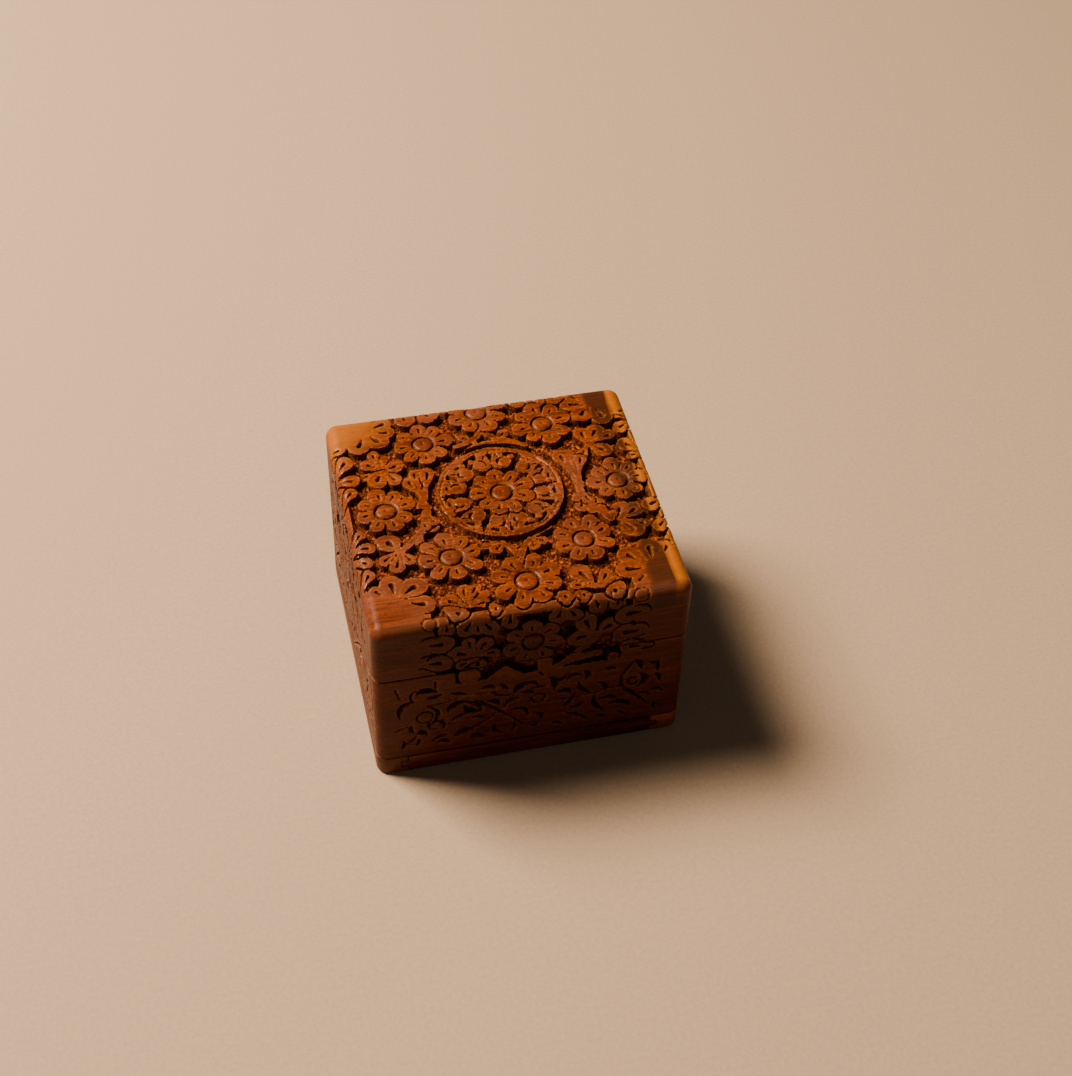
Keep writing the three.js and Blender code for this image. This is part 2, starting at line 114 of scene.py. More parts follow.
def turn(x, y, degrees):
    c, s = math.cos(math.radians(degrees)), math.sin(math.radians(degrees))
    return c * x - s * y, s * x + c * y


# ---------------------------------------------------------------- outlines: signed distances, minus inside
def disc(x, y, radius):
    return np.hypot(x, y) - radius


def drop(x, y, x0, r0, x1, r1):
    """Outline round two discs on the x axis."""
    span = np.maximum(x1 - x0, 0.01)
    b = np.clip((r0 - r1) / span, -0.99, 0.99)
    a = np.sqrt(1 - b * b)
    along, off = x - x0, np.abs(y)
    k = along * a - off * b
    return np.where(
        k < 0,
        np.hypot(along, off) - r0,
        np.where(k > a * span, np.hypot(along - span, off) - r1, along * b + off * a - r0),
    )


def rod(x, y, start, end, half):
    dx, dy = end[0] - start[0], end[1] - start[1]
    t = np.clip(((x - start[0]) * dx + (y - start[1]) * dy) / (dx * dx + dy * dy + 1e-9), 0, 1)
    return np.hypot(x - start[0] - t * dx, y - start[1] - t * dy) - half


def slab(x, y, half_x, half_y, radius):
    ox, oy = np.abs(x) - half_x + radius, np.abs(y) - half_y + radius
    return np.hypot(np.maximum(ox, 0), np.maximum(oy, 0)) + np.minimum(np.maximum(ox, oy), 0) - radius


def bend(start, middle, end, steps=10):
    """Points along a curve that starts and ends at two points and leans towards a third."""
    points = []
    for i in range(steps + 1):
        t = i / steps
        w = ((1 - t) ** 2, 2 * t * (1 - t), t * t)
        points.append(tuple(w[0] * a + w[1] * b + w[2] * c for a, b, c in zip(start, middle, end)))
    return points


# ---------------------------------------------------------------- a face of the box, unfolded
class Face:
    """One face's grid. p and q are its places on the unfolded box, in millimetres from the top's centre."""

    def __init__(self, s, t, angle, is_top):
        self.s, self.t, self.angle, self.is_top = s, t, angle, is_top
        self.p, self.q = (s, t) if is_top else turn(s, t - side_reach(angle), angle)
        self.raised = np.full(s.shape, FAR)
        self.cuts = np.full(s.shape, FAR)
        self.cut_depth = np.zeros(s.shape)
        self.crown = np.zeros(s.shape)
        self.look()

    def look(self, angle=None, flip=1):
        """Turns x and y to the top's own axes, or to a side's: right along it and up from its foot."""
        x, y = self.p, self.q
        if angle is not None:
            x, y = turn(x, y, -angle)
            x, y = flip * x, y + side_reach(angle)
        self.x = x + 0.16 * noise(self.p, self.q, 2.6, 11)
        self.y = y + 0.16 * noise(self.p, self.q, 2.6, 12)

    def window(self, at, degrees, reach):
        """Points near a place, and their coordinates from it along axes turned by some degrees."""
        dx, dy = self.x - at[0], self.y - at[1]
        near = (np.abs(dx) < reach) & (np.abs(dy) < reach)
        if not near.any():
            return None
        return (near, *turn(dx[near], dy[near], -degrees))

    def raise_(self, near, distance, crown=0.0, moat=0.0):
        """Adds a shape to the pattern, cleared all round by the moat's width."""
        old = self.raised[near]
        if moat:
            old = np.maximum(old, moat - distance)
            self.cut_depth[near] = np.where(distance < moat, 0.0, self.cut_depth[near])
            self.cuts[near] = np.where(distance < moat, FAR, self.cuts[near])
        self.crown[near] = np.where(distance < old, crown, self.crown[near])
        self.raised[near] = np.minimum(old, distance)

    def cut(self, near, distance, depth, bank=BANK):
        self.cut_depth[near] = np.maximum(self.cut_depth[near], depth * smooth(-distance / bank))
        self.cuts[near] = np.minimum(self.cuts[near], distance)

    def edge(self):
        """Signed distance to the nearest edge of the top surface, plus where it is cut away."""
        return np.maximum(self.raised, -self.cuts)

    def depth(self):
        pricks = 0.32 * noise(self.p, self.q, 0.7, 3) + 0.2 * noise(self.p, self.q, 1.9, 4)
        ground = GROUND * smooth(self.raised / WALL_WIDTH)
        ground = ground + np.where(self.raised > WALL_WIDTH, pricks, 0.0)
        ease = EASE * np.clip(1 + self.raised / EASE_WIDTH, 0, 1) ** 2
        lip = 0.7 * EASE * np.clip(1 - self.cuts / EASE_WIDTH, 0, 1) ** 2
        hand = 0.05 * (1 + noise(self.p, self.q, 3.5, 5)) * self.fade()
        surface = np.maximum(self.crown + ease + lip + hand, self.cut_depth)
        return np.where(self.raised > 0, np.maximum(ground, self.crown), surface)

    def fade(self):
        """Falls to nothing at the box's upright corners, where two faces meet."""
        across = smooth((self.s.max() - np.abs(self.s)) / 6)
        return across * smooth((self.t.max() - (np.abs(self.t) if self.is_top else self.t)) / 6)


def side_reach(angle):
    """Unfolded distance from the top's centre to the foot of a side."""
    flat = FLAT_Y if angle % 180 == 0 else FLAT_X
    return flat + 2 * EIGHTH_TURN + FLAT_TOP


# ---------------------------------------------------------------- carved motifs
def flower(face, at, reach=10.2, petals=8, angle=0.0, seed=1, moat=0.7):
    """Petals round a domed boss with a ring cut about it, and a tear-shaped slot in every petal."""
    got = face.window(at, angle, reach + 2)
    if got is None:
        return
    near, x, y = got
    rng = np.random.default_rng(seed)
    pace = 2 * math.pi / petals
    k = np.round(np.arctan2(y, x) / pace).astype(int) % petals
    way = k * pace + rng.uniform(-0.07, 0.07, petals)[k]
    px = np.cos(way) * x + np.sin(way) * y
    py = np.cos(way) * y - np.sin(way) * x
    wide = np.where(np.arange(petals) % 2 == 0, 1.12, 0.84) * (1 + rng.uniform(-0.07, 0.07, petals))
    length = reach * (1 + rng.uniform(-0.1, 0.04, petals))[k]
    half = reach * (2.2 / petals) * wide[k]
    boss = 0.29 * reach
    r = np.hypot(x, y)
    petal = drop(px, py, 0.3 * reach, 0.16 * reach, length - half, half)
    bowl = 0.42 * np.exp(-(((r - boss) / 2.0) ** 2)) + 0.12 * (py / half) ** 2 * (r > boss)
    dome = 0.04 + 0.34 * (r / boss) ** 3 + 0.42 * np.exp(-((r / 0.5) ** 2))
    face.raise_(near, np.minimum(petal, r - boss - 1.3), np.where(r < boss, dome, bowl), moat)
    lean = rng.uniform(-0.3, 0.3, petals)[k]
    slot = drop(px, py - lean, 0.52 * reach, 0.27, 0.70 * reach, (0.22 + 0.028 * reach) * wide[k])
    face.cut(near, slot, 1.4)
    face.cut(near, np.abs(r - boss - 0.42) - 0.48, 1.5)


def spray(face, root, heads, moat=0.7, root_half=0.75, slot=0.22, seed=0):
    """Round-headed leaves from one root; each head is (x, y, half width) on the face."""
    reach = max(math.hypot(x - root[0], y - root[1]) + half for x, y, half in heads) + 2
    got = face.window(root, 0, reach)
    if got is None:
        return
    near, x, y = got
    rng = np.random.default_rng(seed + int(1000 + 10 * root[0] + 7 * root[1]))
    shape = np.full(x.shape, FAR)
    slots = np.full(x.shape, FAR)
    for head_x, head_y, half in heads:
        half = LEAF_WIDTH * half
        dx, dy = head_x - root[0], head_y - root[1]
        length = math.hypot(dx, dy)
        along, off = turn(x, y, -math.degrees(math.atan2(dy, dx)))
        off = off + rng.uniform(-0.9, 0.9) * (along / length) * (1 - along / length)
        neck = max(0.5 * length, length - 1.6 * half)
        head = drop(along, off, neck, 0.5 * half, length, half)
        shape = np.minimum(shape, np.minimum(head, rod(along, off, (0, 0), (length, 0), root_half)))
        if slot and half > 1.6:
            start = max(0.5 * length, length - 1.1 * half)
            slots = np.minimum(slots, drop(along, off, start, 0.27, length - 0.05 * half, 0.1 + slot * half))
    face.raise_(near, shape, 0.06, moat)
    face.cut(near, slots, 1.3)


def path(face, points, half=0.6, end_half=None):
    """Distance to a line of points that may taper, with the window round it."""
    xs, ys = [p[0] for p in points], [p[1] for p in points]
    centre = ((min(xs) + max(xs)) / 2, (min(ys) + max(ys)) / 2)
    got = face.window(centre, 0, max(max(xs) - min(xs), max(ys) - min(ys)) / 2 + 3)
    if got is None:
        return None
    near, x, y = got
    end_half = half if end_half is None else end_half
    local = [(px - centre[0], py - centre[1]) for px, py in points]
    shape = np.full(x.shape, FAR)
    for i, (a, b) in enumerate(zip(local, local[1:])):
        shape = np.minimum(shape, rod(x, y, a, b, half + (end_half - half) * (i + 0.5) / (len(local) - 1)))
    return near, shape


def vine(face, points, half=0.8, end_half=None, moat=0.0):
    got = path(face, bend(*points), half, end_half)
    if got:
        face.raise_(*got, 0.15, moat)


def engrave(face, points, half=0.5, end_half=None, depth=1.0):
    """A gouge stroke along a line of points."""
    got = path(face, points, half, end_half)
    if got:
        face.cut(*got, depth, 0.4)


def crescent(face, start, middle, end, thick, depth=1.1):
    """A gouge stroke that swells in the middle and ends in points."""
    points = bend(start, middle, end, 8)
    engrave(face, points[:5], 0.3, thick, depth)
    engrave(face, points[4:], thick, 0.3, depth)


def ring(face, at, radius, half=0.4, start=0, sweep=360, depth=1.0):
    ways = [math.radians(start + sweep * i / 14) for i in range(15)]
    points = [(at[0] + radius * math.cos(w), at[1] + radius * math.sin(w)) for w in ways]
    engrave(face, points, half, half, depth)


def plain(face, left, right, low, high, radius=1.2):
    """Leaves a patch of the board uncut."""
    centre = ((left + right) / 2, (low + high) / 2)
    half_x, half_y = (right - left) / 2, (high - low) / 2
    got = face.window(centre, 0, max(half_x, half_y) + 3)
    if got is None:
        return
    near, x, y = got
    face.raise_(near, slab(x, y, half_x, half_y, radius))


def patch(face, at, radius):
    """Leaves a round patch of the board uncut."""
    got = face.window(at, 0, radius + 3)
    if got:
        face.raise_(got[0], disc(got[1], got[2], radius))


def medallion(face, centre, radius):
    """The round centrepiece: a flower inside a wreath of curled leaves, and a ditch all round."""
    got = face.window(centre, 0, radius + 5)
    if got is None:
        return
    near, x, y = got
    r = np.hypot(x, y)
    ditch = radius + 2.2 - r
    face.raised[near] = np.where(ditch > -0.5, np.maximum(face.raised[near], ditch), face.raised[near])
    leaves = 12
    pace = 2 * math.pi / leaves
    rng = np.random.default_rng(31)
    way = np.arctan2(y, x) / pace - 0.5
    k = np.round(way).astype(int) % leaves
    side = np.where(k % 2 == 0, 1, -1)
    lean = (way - np.round(way)) * pace - side * 0.02 - rng.uniform(-0.03, 0.03, leaves)[k]
    out, off = r * np.cos(lean), side * r * np.sin(lean)
    head_half = ((0.158 + rng.uniform(-0.014, 0.01, leaves)) * radius)[k]
    head_at = ((0.672 + rng.uniform(-0.02, 0.02, leaves)) * radius)[k]
    u, v = out - head_at, off
    head = disc(u, v, head_half)
    neck = drop(u, v - 0.45 * head_half, 0.0, 0.52 * head_half, 0.27 * radius, 0.075 * radius)
    lobe = disc(u - 0.125 * radius, v + 0.95 * head_half, 0.052 * radius)
    rim = np.maximum(r - radius, (0.885 + 0.025 * np.sin(4.6 * way)) * radius - r)
    wreath = np.minimum(np.minimum(head, neck), np.minimum(lobe, rim))
    face.raise_(near, np.maximum(wreath, r - radius), 0.06)
    bowl = 0.30 * np.clip(1 + head / head_half, 0, 1)
    face.crown[near] = np.where(head < 0, bowl, face.crown[near])
    curl = np.maximum(disc(u - 0.12 * head_half, v, 0.60 * head_half), -disc(u, v + 0.36 * head_half, 0.64 * head_half))
    face.cut(near, curl, 1.3)
    tail = rod(u, v, (0.5 * head_half, 0.3 * head_half), (1.1 * head_half, 0.7 * head_half), 0.36)
    face.cut(near, tail, 1.0)
    groove = np.abs(r - (0.945 + 0.006 * np.sin(5 * way)) * radius) - 0.28
    face.cut(near, np.where(np.sin(2.7 * way + 1) > -0.45, groove, FAR), 0.8)
    notch = drop(r - 0.84 * radius, r * (np.abs(lean + side * 0.02) - pace / 2), 0.0, 0.55, 1.7, 0.3)
    face.cut(near, np.where(k % 3 == 1, FAR, notch), 1.7)
    flower(face, (centre[0] + 0.3, centre[1] - 0.6), 0.53 * radius, 9, 14, 21, 0.65)


# Leaves on the top as (root, heads); the first lie beneath the vines, the others grow from the edges.
TOP_SPRAYS = [
    ((-35.3, 21.5), [(-37.3, 29.3, 1.6), (-34.0, 26.9, 1.2), (-39.8, 25.0, 2.1), (-31.0, 22.8, 2.4)]),
    ((-35.3, 21.0), [(-32.3, 16.8, 2.1), (-38.0, 17.4, 2.8), (-42.2, 19.4, 1.4)]),
    ((-36.2, -15.2), [(-39.3, -11.2, 3.1), (-41.5, -18.8, 1.7), (-38.0, -22.0, 2.1), (-33.6, -19.8, 1.8)]),
    ((-19.8, -42.5), [(-19.9, -35.6, 1.8), (-16.3, -35.6, 1.5), (-13.8, -38.4, 1.3), (-14.6, -41.8, 1.6)]),
    ((-20.8, -42.5), [(-25.0, -39.4, 2.4)]),
    ((20.6, -42.5), [(17.2, -35.5, 2.9), (14.6, -40.4, 1.5), (24.8, -38.0, 1.9), (27.2, -41.2, 1.7)]),
    ((35.5, -15.2), [(36.3, -11.0, 2.7), (40.9, -11.8, 2.5), (38.2, -20.6, 2.9), (42.2, -18.6, 1.6)]),
    ((33.5, 20.5), [(33.0, 26.4, 2.3), (37.8, 26.9, 2.5), (41.6, 24.2, 1.8), (38.2, 17.2, 2.6), (30.2, 16.2, 1.8)]),
    ((28.2, -2.0), [(24.6, -7.2, 2.0), (27.7, -9.6, 1.3), (31.0, -6.5, 1.3)]),
    ((32.5, -14.2), [(30.8, -9.0, 1.2), (33.8, -12.4, 1.2)]),
    ((-28.2, -8.6), [(-23.6, -7.2, 1.5), (-29.4, -13.0, 1.2)]),
    ((-38.5, 41.0), [(-41.2, 34.3, 3.0), (-34.8, 35.8, 3.1), (-31.0, 39.4, 2.2), (-31.8, 43.9, 2.5)]),
    ((38.8, 40.5), [(32.6, 41.4, 2.8), (35.2, 35.6, 3.0), (42.0, 33.6, 3.2)]),
    ((-41.0, -36.5), [(-46.4, -31.0, 1.8), (-41.3, -29.0, 3.1), (-34.4, -31.2, 3.3), (-32.8, -39.0, 3.0)]),
    ((40.5, -38.5), [(46.8, -30.0, 2.0), (41.0, -29.4, 3.3), (33.6, -31.4, 3.0), (32.0, -37.2, 3.1), (34.2, -42.4, 1.9)]),
]
EDGE_LEAVES = [
    ((-24.0, 50.0), [(-24.0, 44.8, 3.0)]), ((-16.2, 50.0), [(-16.0, 45.4, 3.1)]), ((14.6, 50.0), [(15.0, 45.8, 2.1)]),
    ((21.6, 51.0), [(21.4, 46.2, 2.6)]), ((28.6, 50.5), [(28.4, 45.9, 2.6)]),
    ((-53.5, 20.5), [(-47.2, 27.4, 2.6), (-46.0, 18.6, 2.2)]), ((-53.0, 34.0), [(-48.2, 34.0, 1.9)]),
    ((-52.5, 7.5), [(-47.4, 13.2, 1.9)]), ((-53.0, -12.0), [(-47.6, -6.4, 1.7), (-45.6, -12.4, 1.9)]),
    ((-53.0, -15.5), [(-47.4, -18.6, 1.9)]), ((-53.0, -30.0), [(-47.6, -24.0, 1.9)]),
    ((52.5, 30.5), [(46.6, 27.0, 2.2)]), ((53.0, 14.5), [(46.4, 18.4, 2.6), (46.8, 12.8, 1.4)]),
    ((53.0, -7.5), [(46.8, -10.8, 2.4)]), ((53.0, -16.0), [(47.2, -20.6, 2.1)]), ((53.5, 38.5), [(48.6, 35.0, 1.7)]),
    ((-23.4, -46.6), [(-23.4, -44.6, 2.6)]), ((10.4, -46.6), [(10.4, -44.4, 2.1)]), ((26.2, -46.8), [(26.2, -44.9, 2.7)]),
    ((-12.0, -46.6), [(-11.8, -44.8, 1.6)]), ((16.2, -46.6), [(16.0, -44.8, 1.7)]),
]
TOP_FLOWERS = [
    (-20.3, 31.8, 10.3, 8, 4), (0.2, 43.8, 10.8, 8, 22), (20.9, 34.0, 10.4, 8, 12), (39.2, 2.6, 10.2, 8, 2),
    (21.8, -21.3, 10.5, 8, 18), (0.2, -35.4, 11.4, 8, 22), (-20.9, -20.9, 10.5, 8, 6), (-37.6, 3.0, 10.2, 8, 14),
]
TOP_VINES = [
    ([(-30.0, 3.6), (-25.0, 3.2), (-23.6, 2.0)], 1.1, 0.9), ([(-24.6, 3.4), (-22.6, -5.0), (-35.0, -15.0)], 1.0, 1.1),
    ([(-26.4, 3.4), (-24.4, 5.5), (-24.2, 8.5)], 1.0, 1.5),
    ([(31.0, 3.4), (26.5, 3.4), (25.6, 0.0)], 1.1, 1.0), ([(25.8, 2.6), (25.4, -3.6), (32.6, -14.4)], 1.0, 1.2),
    ([(26.4, 3.6), (27.2, 7.0), (26.4, 9.5)], 1.0, 1.3),
    ([(18.4, 21.2), (25.0, 13.0), (25.4, 4.0)], 0.45, 0.5),
    ([(0.3, -28.0), (0.6, -19.0), (-9.5, -15.4)], 1.3, 0.6), ([(0.3, -28.0), (0.6, -18.5), (12.6, -14.2)], 1.3, 0.7),
    ([(0.1, 37.0), (0.0, 30.0), (-9.8, 28.2)], 1.2, 0.8), ([(0.3, 37.0), (0.6, 30.0), (9.8, 27.6)], 1.2, 0.8),
    ([(-13.0, 20.6), (-1.0, 33.6), (13.4, 24.6)], 0.8, 0.8),
]
UNDER_VINES = [
    ((-24.2, 6.0), [(-27.9, 14.2, 1.9), (-25.7, 17.9, 1.6), (-21.4, 17.4, 2.2)]),
    ((26.6, 6.0), [(29.6, 14.6, 1.7), (23.4, 17.0, 2.3), (26.6, 17.8, 1.3)]),
    ((-25.6, 0.0), [(-23.4, -4.6, 1.5), (-26.2, -6.4, 1.4)]), ((26.4, 0.5), [(23.9, -3.4, 1.3), (27.6, -5.0, 1.6)]),
    ((-3.0, -17.5), [(-6.4, -20.6, 1.7), (-9.4, -18.6, 1.2)]), ((5.4, -17.8), [(5.8, -21.4, 1.5), (9.0, -19.8, 1.4)]),
    ((-3.0, 29.0), [(-6.6, 32.0, 1.5)]), ((3.4, 29.0), [(7.0, 31.6, 1.7)]),
]


CORNER_PATCHES = [
    (-53.0, 52.0, 19.5), (53.0, 52.0, 19.5), (-54.0, -52.0, 22.5), (54.0, -52.0, 23.0), (-44.0, 46.0, 8.0), (44.0, 46.0, 8.0),
]


# Uncut strips along the four rounded edges
BORDERS = [(-55.0, 55.0, -48.6, -45.4), (-52.2, -49.2, -53.0, 53.0), (49.2, 52.2, -53.0, 53.0), (-55.0, 55.0, 47.4, 50.0)]


def top_design(face):
    face.look()
    for root, heads in TOP_SPRAYS + UNDER_VINES:
        spray(face, root, heads)
    for points, half, end_half in TOP_VINES:
        vine(face, points, half, end_half)
    for left, right, low, high in BORDERS:
        plain(face, left, right, low, high, 0.4)
    for root, heads in EDGE_LEAVES:
        spray(face, root, heads, 0.95, 1.2)
    for x, y, radius in CORNER_PATCHES:
        patch(face, (x, y), radius)
    medallion(face, (0.4, 4.9), 20.6)
    for i, (x, y, reach, petals, angle) in enumerate(TOP_FLOWERS):
        flower(face, (x, y), reach, petals, angle, 70 + i)
    for at, radius in (((-32.6, -47.3), 2.3), ((27.0, -47.0), 2.6), ((34.0, -48.0), 2.4)):
        ring(face, at, radius, 0.35, 0, 360, 0.8)


# Leaves of a side's relief: x to the right of its middle, y up from the foot
SIDE_SPRAYS = [
    ((-18.4, 53.0), [(-24.0, 54.8, 3.0), (-20.8, 59.4, 1.9), (-15.6, 58.0, 2.3), (-12.8, 52.8, 1.8), (-17.8, 48.0, 2.3)]),
    ((19.6, 54.0), [(16.2, 60.8, 3.0), (24.2, 57.2, 3.0), (14.2, 53.6, 3.0)]), ((-18.6, 51.0), [(-23.4, 49.4, 1.5)]),
    ((-18.0, 70.5), [(-21.8, 65.4, 2.5), (-17.8, 64.4, 1.7), (-14.0, 64.4, 2.4)]), ((-27.6, 70.0), [(-27.6, 66.4, 2.2)]),
    ((-7.0, 71.5), [(-8.0, 65.8, 2.3)]), ((9.6, 70.5), [(7.2, 65.0, 2.6), (12.6, 64.6, 2.2)]), ((18.0, 72.0), [(19.8, 67.0, 2.4)]),
    ((-37.0, 61.0), [(-29.2, 60.4, 3.3)]), ((-37.0, 51.8), [(-29.8, 51.8, 3.2)]), ((26.0, 71.0), [(26.2, 66.8, 2.2)]),
    ((39.0, 61.6), [(29.6, 61.2, 3.4)]), ((39.0, 53.0), [(29.4, 52.4, 3.4)]), ((38.0, 45.0), [(31.6, 45.4, 2.9)]),
]
SIDE_SOLIDS = [
    ((-21.0, 39.6), [(-20.6, 43.6, 3.0)]), ((-9.2, 44.6), [(-13.2, 40.8, 1.0), (-9.0, 41.4, 1.8), (-5.0, 40.8, 1.0)]),
    ((27.0, 38.0), [(26.0, 42.0, 1.6)]),
]


def side_design(face, angle, flip, seed):
    """Relief on the lid's side that runs a little past the seam, and gouged scrolls on the base."""
    face.look(angle, flip)
    plain(face, -HALF_X - 6, -31.6, 30.0, 75.0, 2.0)
    plain(face, 33.2, HALF_X + 6, 30.0, 75.0, 2.0)
    for root, heads in SIDE_SPRAYS:
        spray(face, root, heads, 0.65, 1.0, 0.22, seed)
    for root, heads in SIDE_SOLIDS:
        spray(face, root, heads, 0.65, 1.0, 0, seed)
    vine(face, [(19.4, 54.0), (18.0, 49.0), (8.0, 41.5)], 1.8, 1.0)
    vine(face, [(6.0, 40.5), (12.0, 44.5), (21.0, 44.8)], 1.2, 1.5)
    flower(face, (-0.4, 54.8), 10.3, 7, 92, seed + 1, 0.65)
    plain(face, 1.4, 6.0, 38.0, 46.2, 0.4)
    plain(face, -HALF_X - 6, -25.2, 30.0, 46.2, 1.0)
    plain(face, 28.6, HALF_X + 6, 30.0, 43.0, 1.0)
    plain(face, -HALF_X - 6, HALF_X + 6, -20.0, 40.7, 0.3)
    for start, middle, end in HOOKS:
        crescent(face, start, middle, end, 0.6)
    scrolls(face)
    # the seam groove is cut deep enough to take the painted shade of the walls
    if not face.is_top:
        near = np.abs(face.t - SEAM) < 1.5
        face.cut(near, np.abs(face.t[near] - SEAM) - SEAM_GROOVE, SEAM_DEPTH)


# Hooks cut beside the leaves at the right of a side
HOOKS = [
    ((37.2, 61.6), (36.0, 66.0), (31.6, 64.6)), ((37.2, 52.8), (36.0, 57.4), (31.6, 56.0)),
    ((37.0, 46.2), (35.0, 49.0), (32.4, 48.2)), ((-36.0, 63.6), (-33.0, 65.2), (-29.6, 64.0)),
    ((-36.0, 55.6), (-33.0, 56.8), (-29.4, 55.6)),
]
# Gouge strokes on the base, swelling in the middle: start, the point it leans towards, end, thickness
CRESCENTS = [
    ((-37.6, 38.4), (-35.0, 41.0), (-31.6, 38.2), 1.0), ((-43.0, 27.4), (-44.4, 34.6), (-38.4, 35.2), 0.75),
    ((-38.6, 34.8), (-40.6, 38.4), (-37.6, 40.2), 0.4), ((-34.0, 31.4), (-27.6, 28.0), (-33.6, 21.8), 0.6),
    ((-27.4, 27.4), (-26.8, 32.0), (-21.2, 31.0), 0.9), ((-22.0, 29.2), (-22.0, 26.0), (-16.8, 25.4), 1.0),
    ((-21.4, 30.6), (-17.4, 30.0), (-16.8, 25.6), 0.7), ((-26.2, 22.4), (-25.0, 24.6), (-20.0, 25.6), 0.5),
    ((-19.4, 22.6), (-17.0, 23.0), (-15.6, 21.2), 0.5), ((-25.0, 14.6), (-22.6, 18.0), (-19.2, 16.2), 1.0),
    ((-9.0, 24.8), (-8.4, 29.4), (-4.4, 28.6), 0.6), ((-6.6, 22.8), (-1.6, 24.8), (-1.2, 18.2), 0.6),
    ((0.2, 20.0), (4.6, 19.0), (3.0, 15.0), 0.6), ((3.2, 15.0), (2.2, 13.0), (-0.4, 13.6), 0.5),
    ((-6.2, 30.8), (-4.6, 35.6), (-0.6, 35.6), 1.0), ((-2.4, 35.2), (0.6, 36.4), (1.8, 33.4), 0.6),
    ((5.2, 36.6), (8.4, 34.4), (7.0, 30.2), 0.9), ((7.2, 34.6), (10.0, 33.6), (12.2, 37.6), 0.6),
    ((11.4, 33.0), (12.4, 38.2), (16.4, 34.8), 0.6), ((16.8, 37.0), (19.0, 35.6), (17.4, 32.8), 0.8),
    ((14.0, 26.4), (13.4, 22.6), (10.2, 20.8), 0.7), ((15.2, 31.8), (15.6, 27.0), (19.4, 25.6), 0.8),
    ((21.6, 30.2), (25.2, 29.0), (24.4, 25.4), 0.8), ((21.0, 23.6), (19.4, 18.6), (24.6, 15.4), 0.8),
    ((26.0, 18.4), (30.6, 19.8), (33.2, 15.4), 0.9), ((11.2, 17.0), (15.0, 16.4), (18.8, 11.8), 0.6),
    ((30.2, 33.0), (28.0, 27.4), (31.6, 23.8), 0.45), ((35.4, 31.4), (39.8, 28.4), (35.4, 24.6), 0.9),
    ((30.2, 31.0), (31.4, 36.0), (33.4, 38.2), 0.4), ((33.6, 38.4), (35.4, 36.8), (36.2, 33.6), 0.8),
    ((38.4, 36.6), (40.4, 34.4), (42.2, 36.4), 0.5), ((41.8, 35.6), (41.2, 33.6), (41.8, 31.6), 0.6),
    ((40.6, 30.0), (42.8, 29.0), (42.6, 26.0), 0.7), ((39.6, 21.6), (42.4, 23.0), (44.4, 20.2), 0.5),
    ((-39.4, 23.0), (-40.3, 21.2), (-38.8, 19.8), 0.5), ((-37.6, 18.6), (-36.0, 20.0), (-34.6, 17.4), 0.8),
    ((-30.4, 22.8), (-28.4, 22.4), (-29.0, 19.6), 0.6), ((-42.1, 15.8), (-41.8, 13.6), (-42.8, 12.2), 0.45),
    ((-37.2, 15.8), (-36.8, 14.2), (-37.9, 13.0), 0.45), ((-12.0, 17.4), (-13.6, 13.4), (-9.0, 11.8), 0.6),
    ((-7.4, 12.2), (-4.4, 13.6), (-6.0, 17.4), 0.5), ((-26.4, 36.2), (-24.0, 36.2), (-21.4, 34.6), 0.5),
    ((23.6, 36.0), (25.4, 37.0), (27.2, 35.8), 0.6), ((-10.2, 37.4), (-9.6, 35.4), (-7.8, 34.0), 0.5),
    ((-33.0, 13.4), (-30.6, 16.2), (-27.6, 15.8), 0.5), ((35.6, 20.4), (37.6, 22.4), (39.6, 19.6), 0.5),
    ((-31.0, 12.6), (-28.6, 14.0), (-26.8, 11.6), 0.6), ((-20.6, 12.4), (-17.6, 13.6), (-15.8, 11.2), 0.6),
    ((6.4, 12.6), (8.8, 13.8), (10.4, 11.4), 0.55), ((20.8, 12.2), (23.0, 13.4), (25.8, 11.6), 0.6),
    ((28.4, 13.4), (30.6, 13.0), (31.6, 11.0), 0.5),
    ((8.6, 28.2), (11.8, 30.2), (12.6, 26.6), 0.8), ((22.6, 21.4), (26.8, 22.6), (28.6, 20.2), 0.6),
    ((-14.6, 29.4), (-11.6, 29.8), (-10.8, 26.8), 0.8), ((-3.6, 31.2), (-0.6, 31.6), (0.4, 29.8), 0.6),
    ((17.6, 21.4), (15.4, 19.0), (12.4, 19.6), 0.6), ((-29.6, 36.8), (-31.8, 35.0), (-34.4, 36.0), 0.6),
    ((-16.8, 36.4), (-13.6, 37.8), (-12.4, 35.6), 0.6), ((42.4, 16.0), (40.6, 13.6), (42.0, 11.6), 0.5),
]
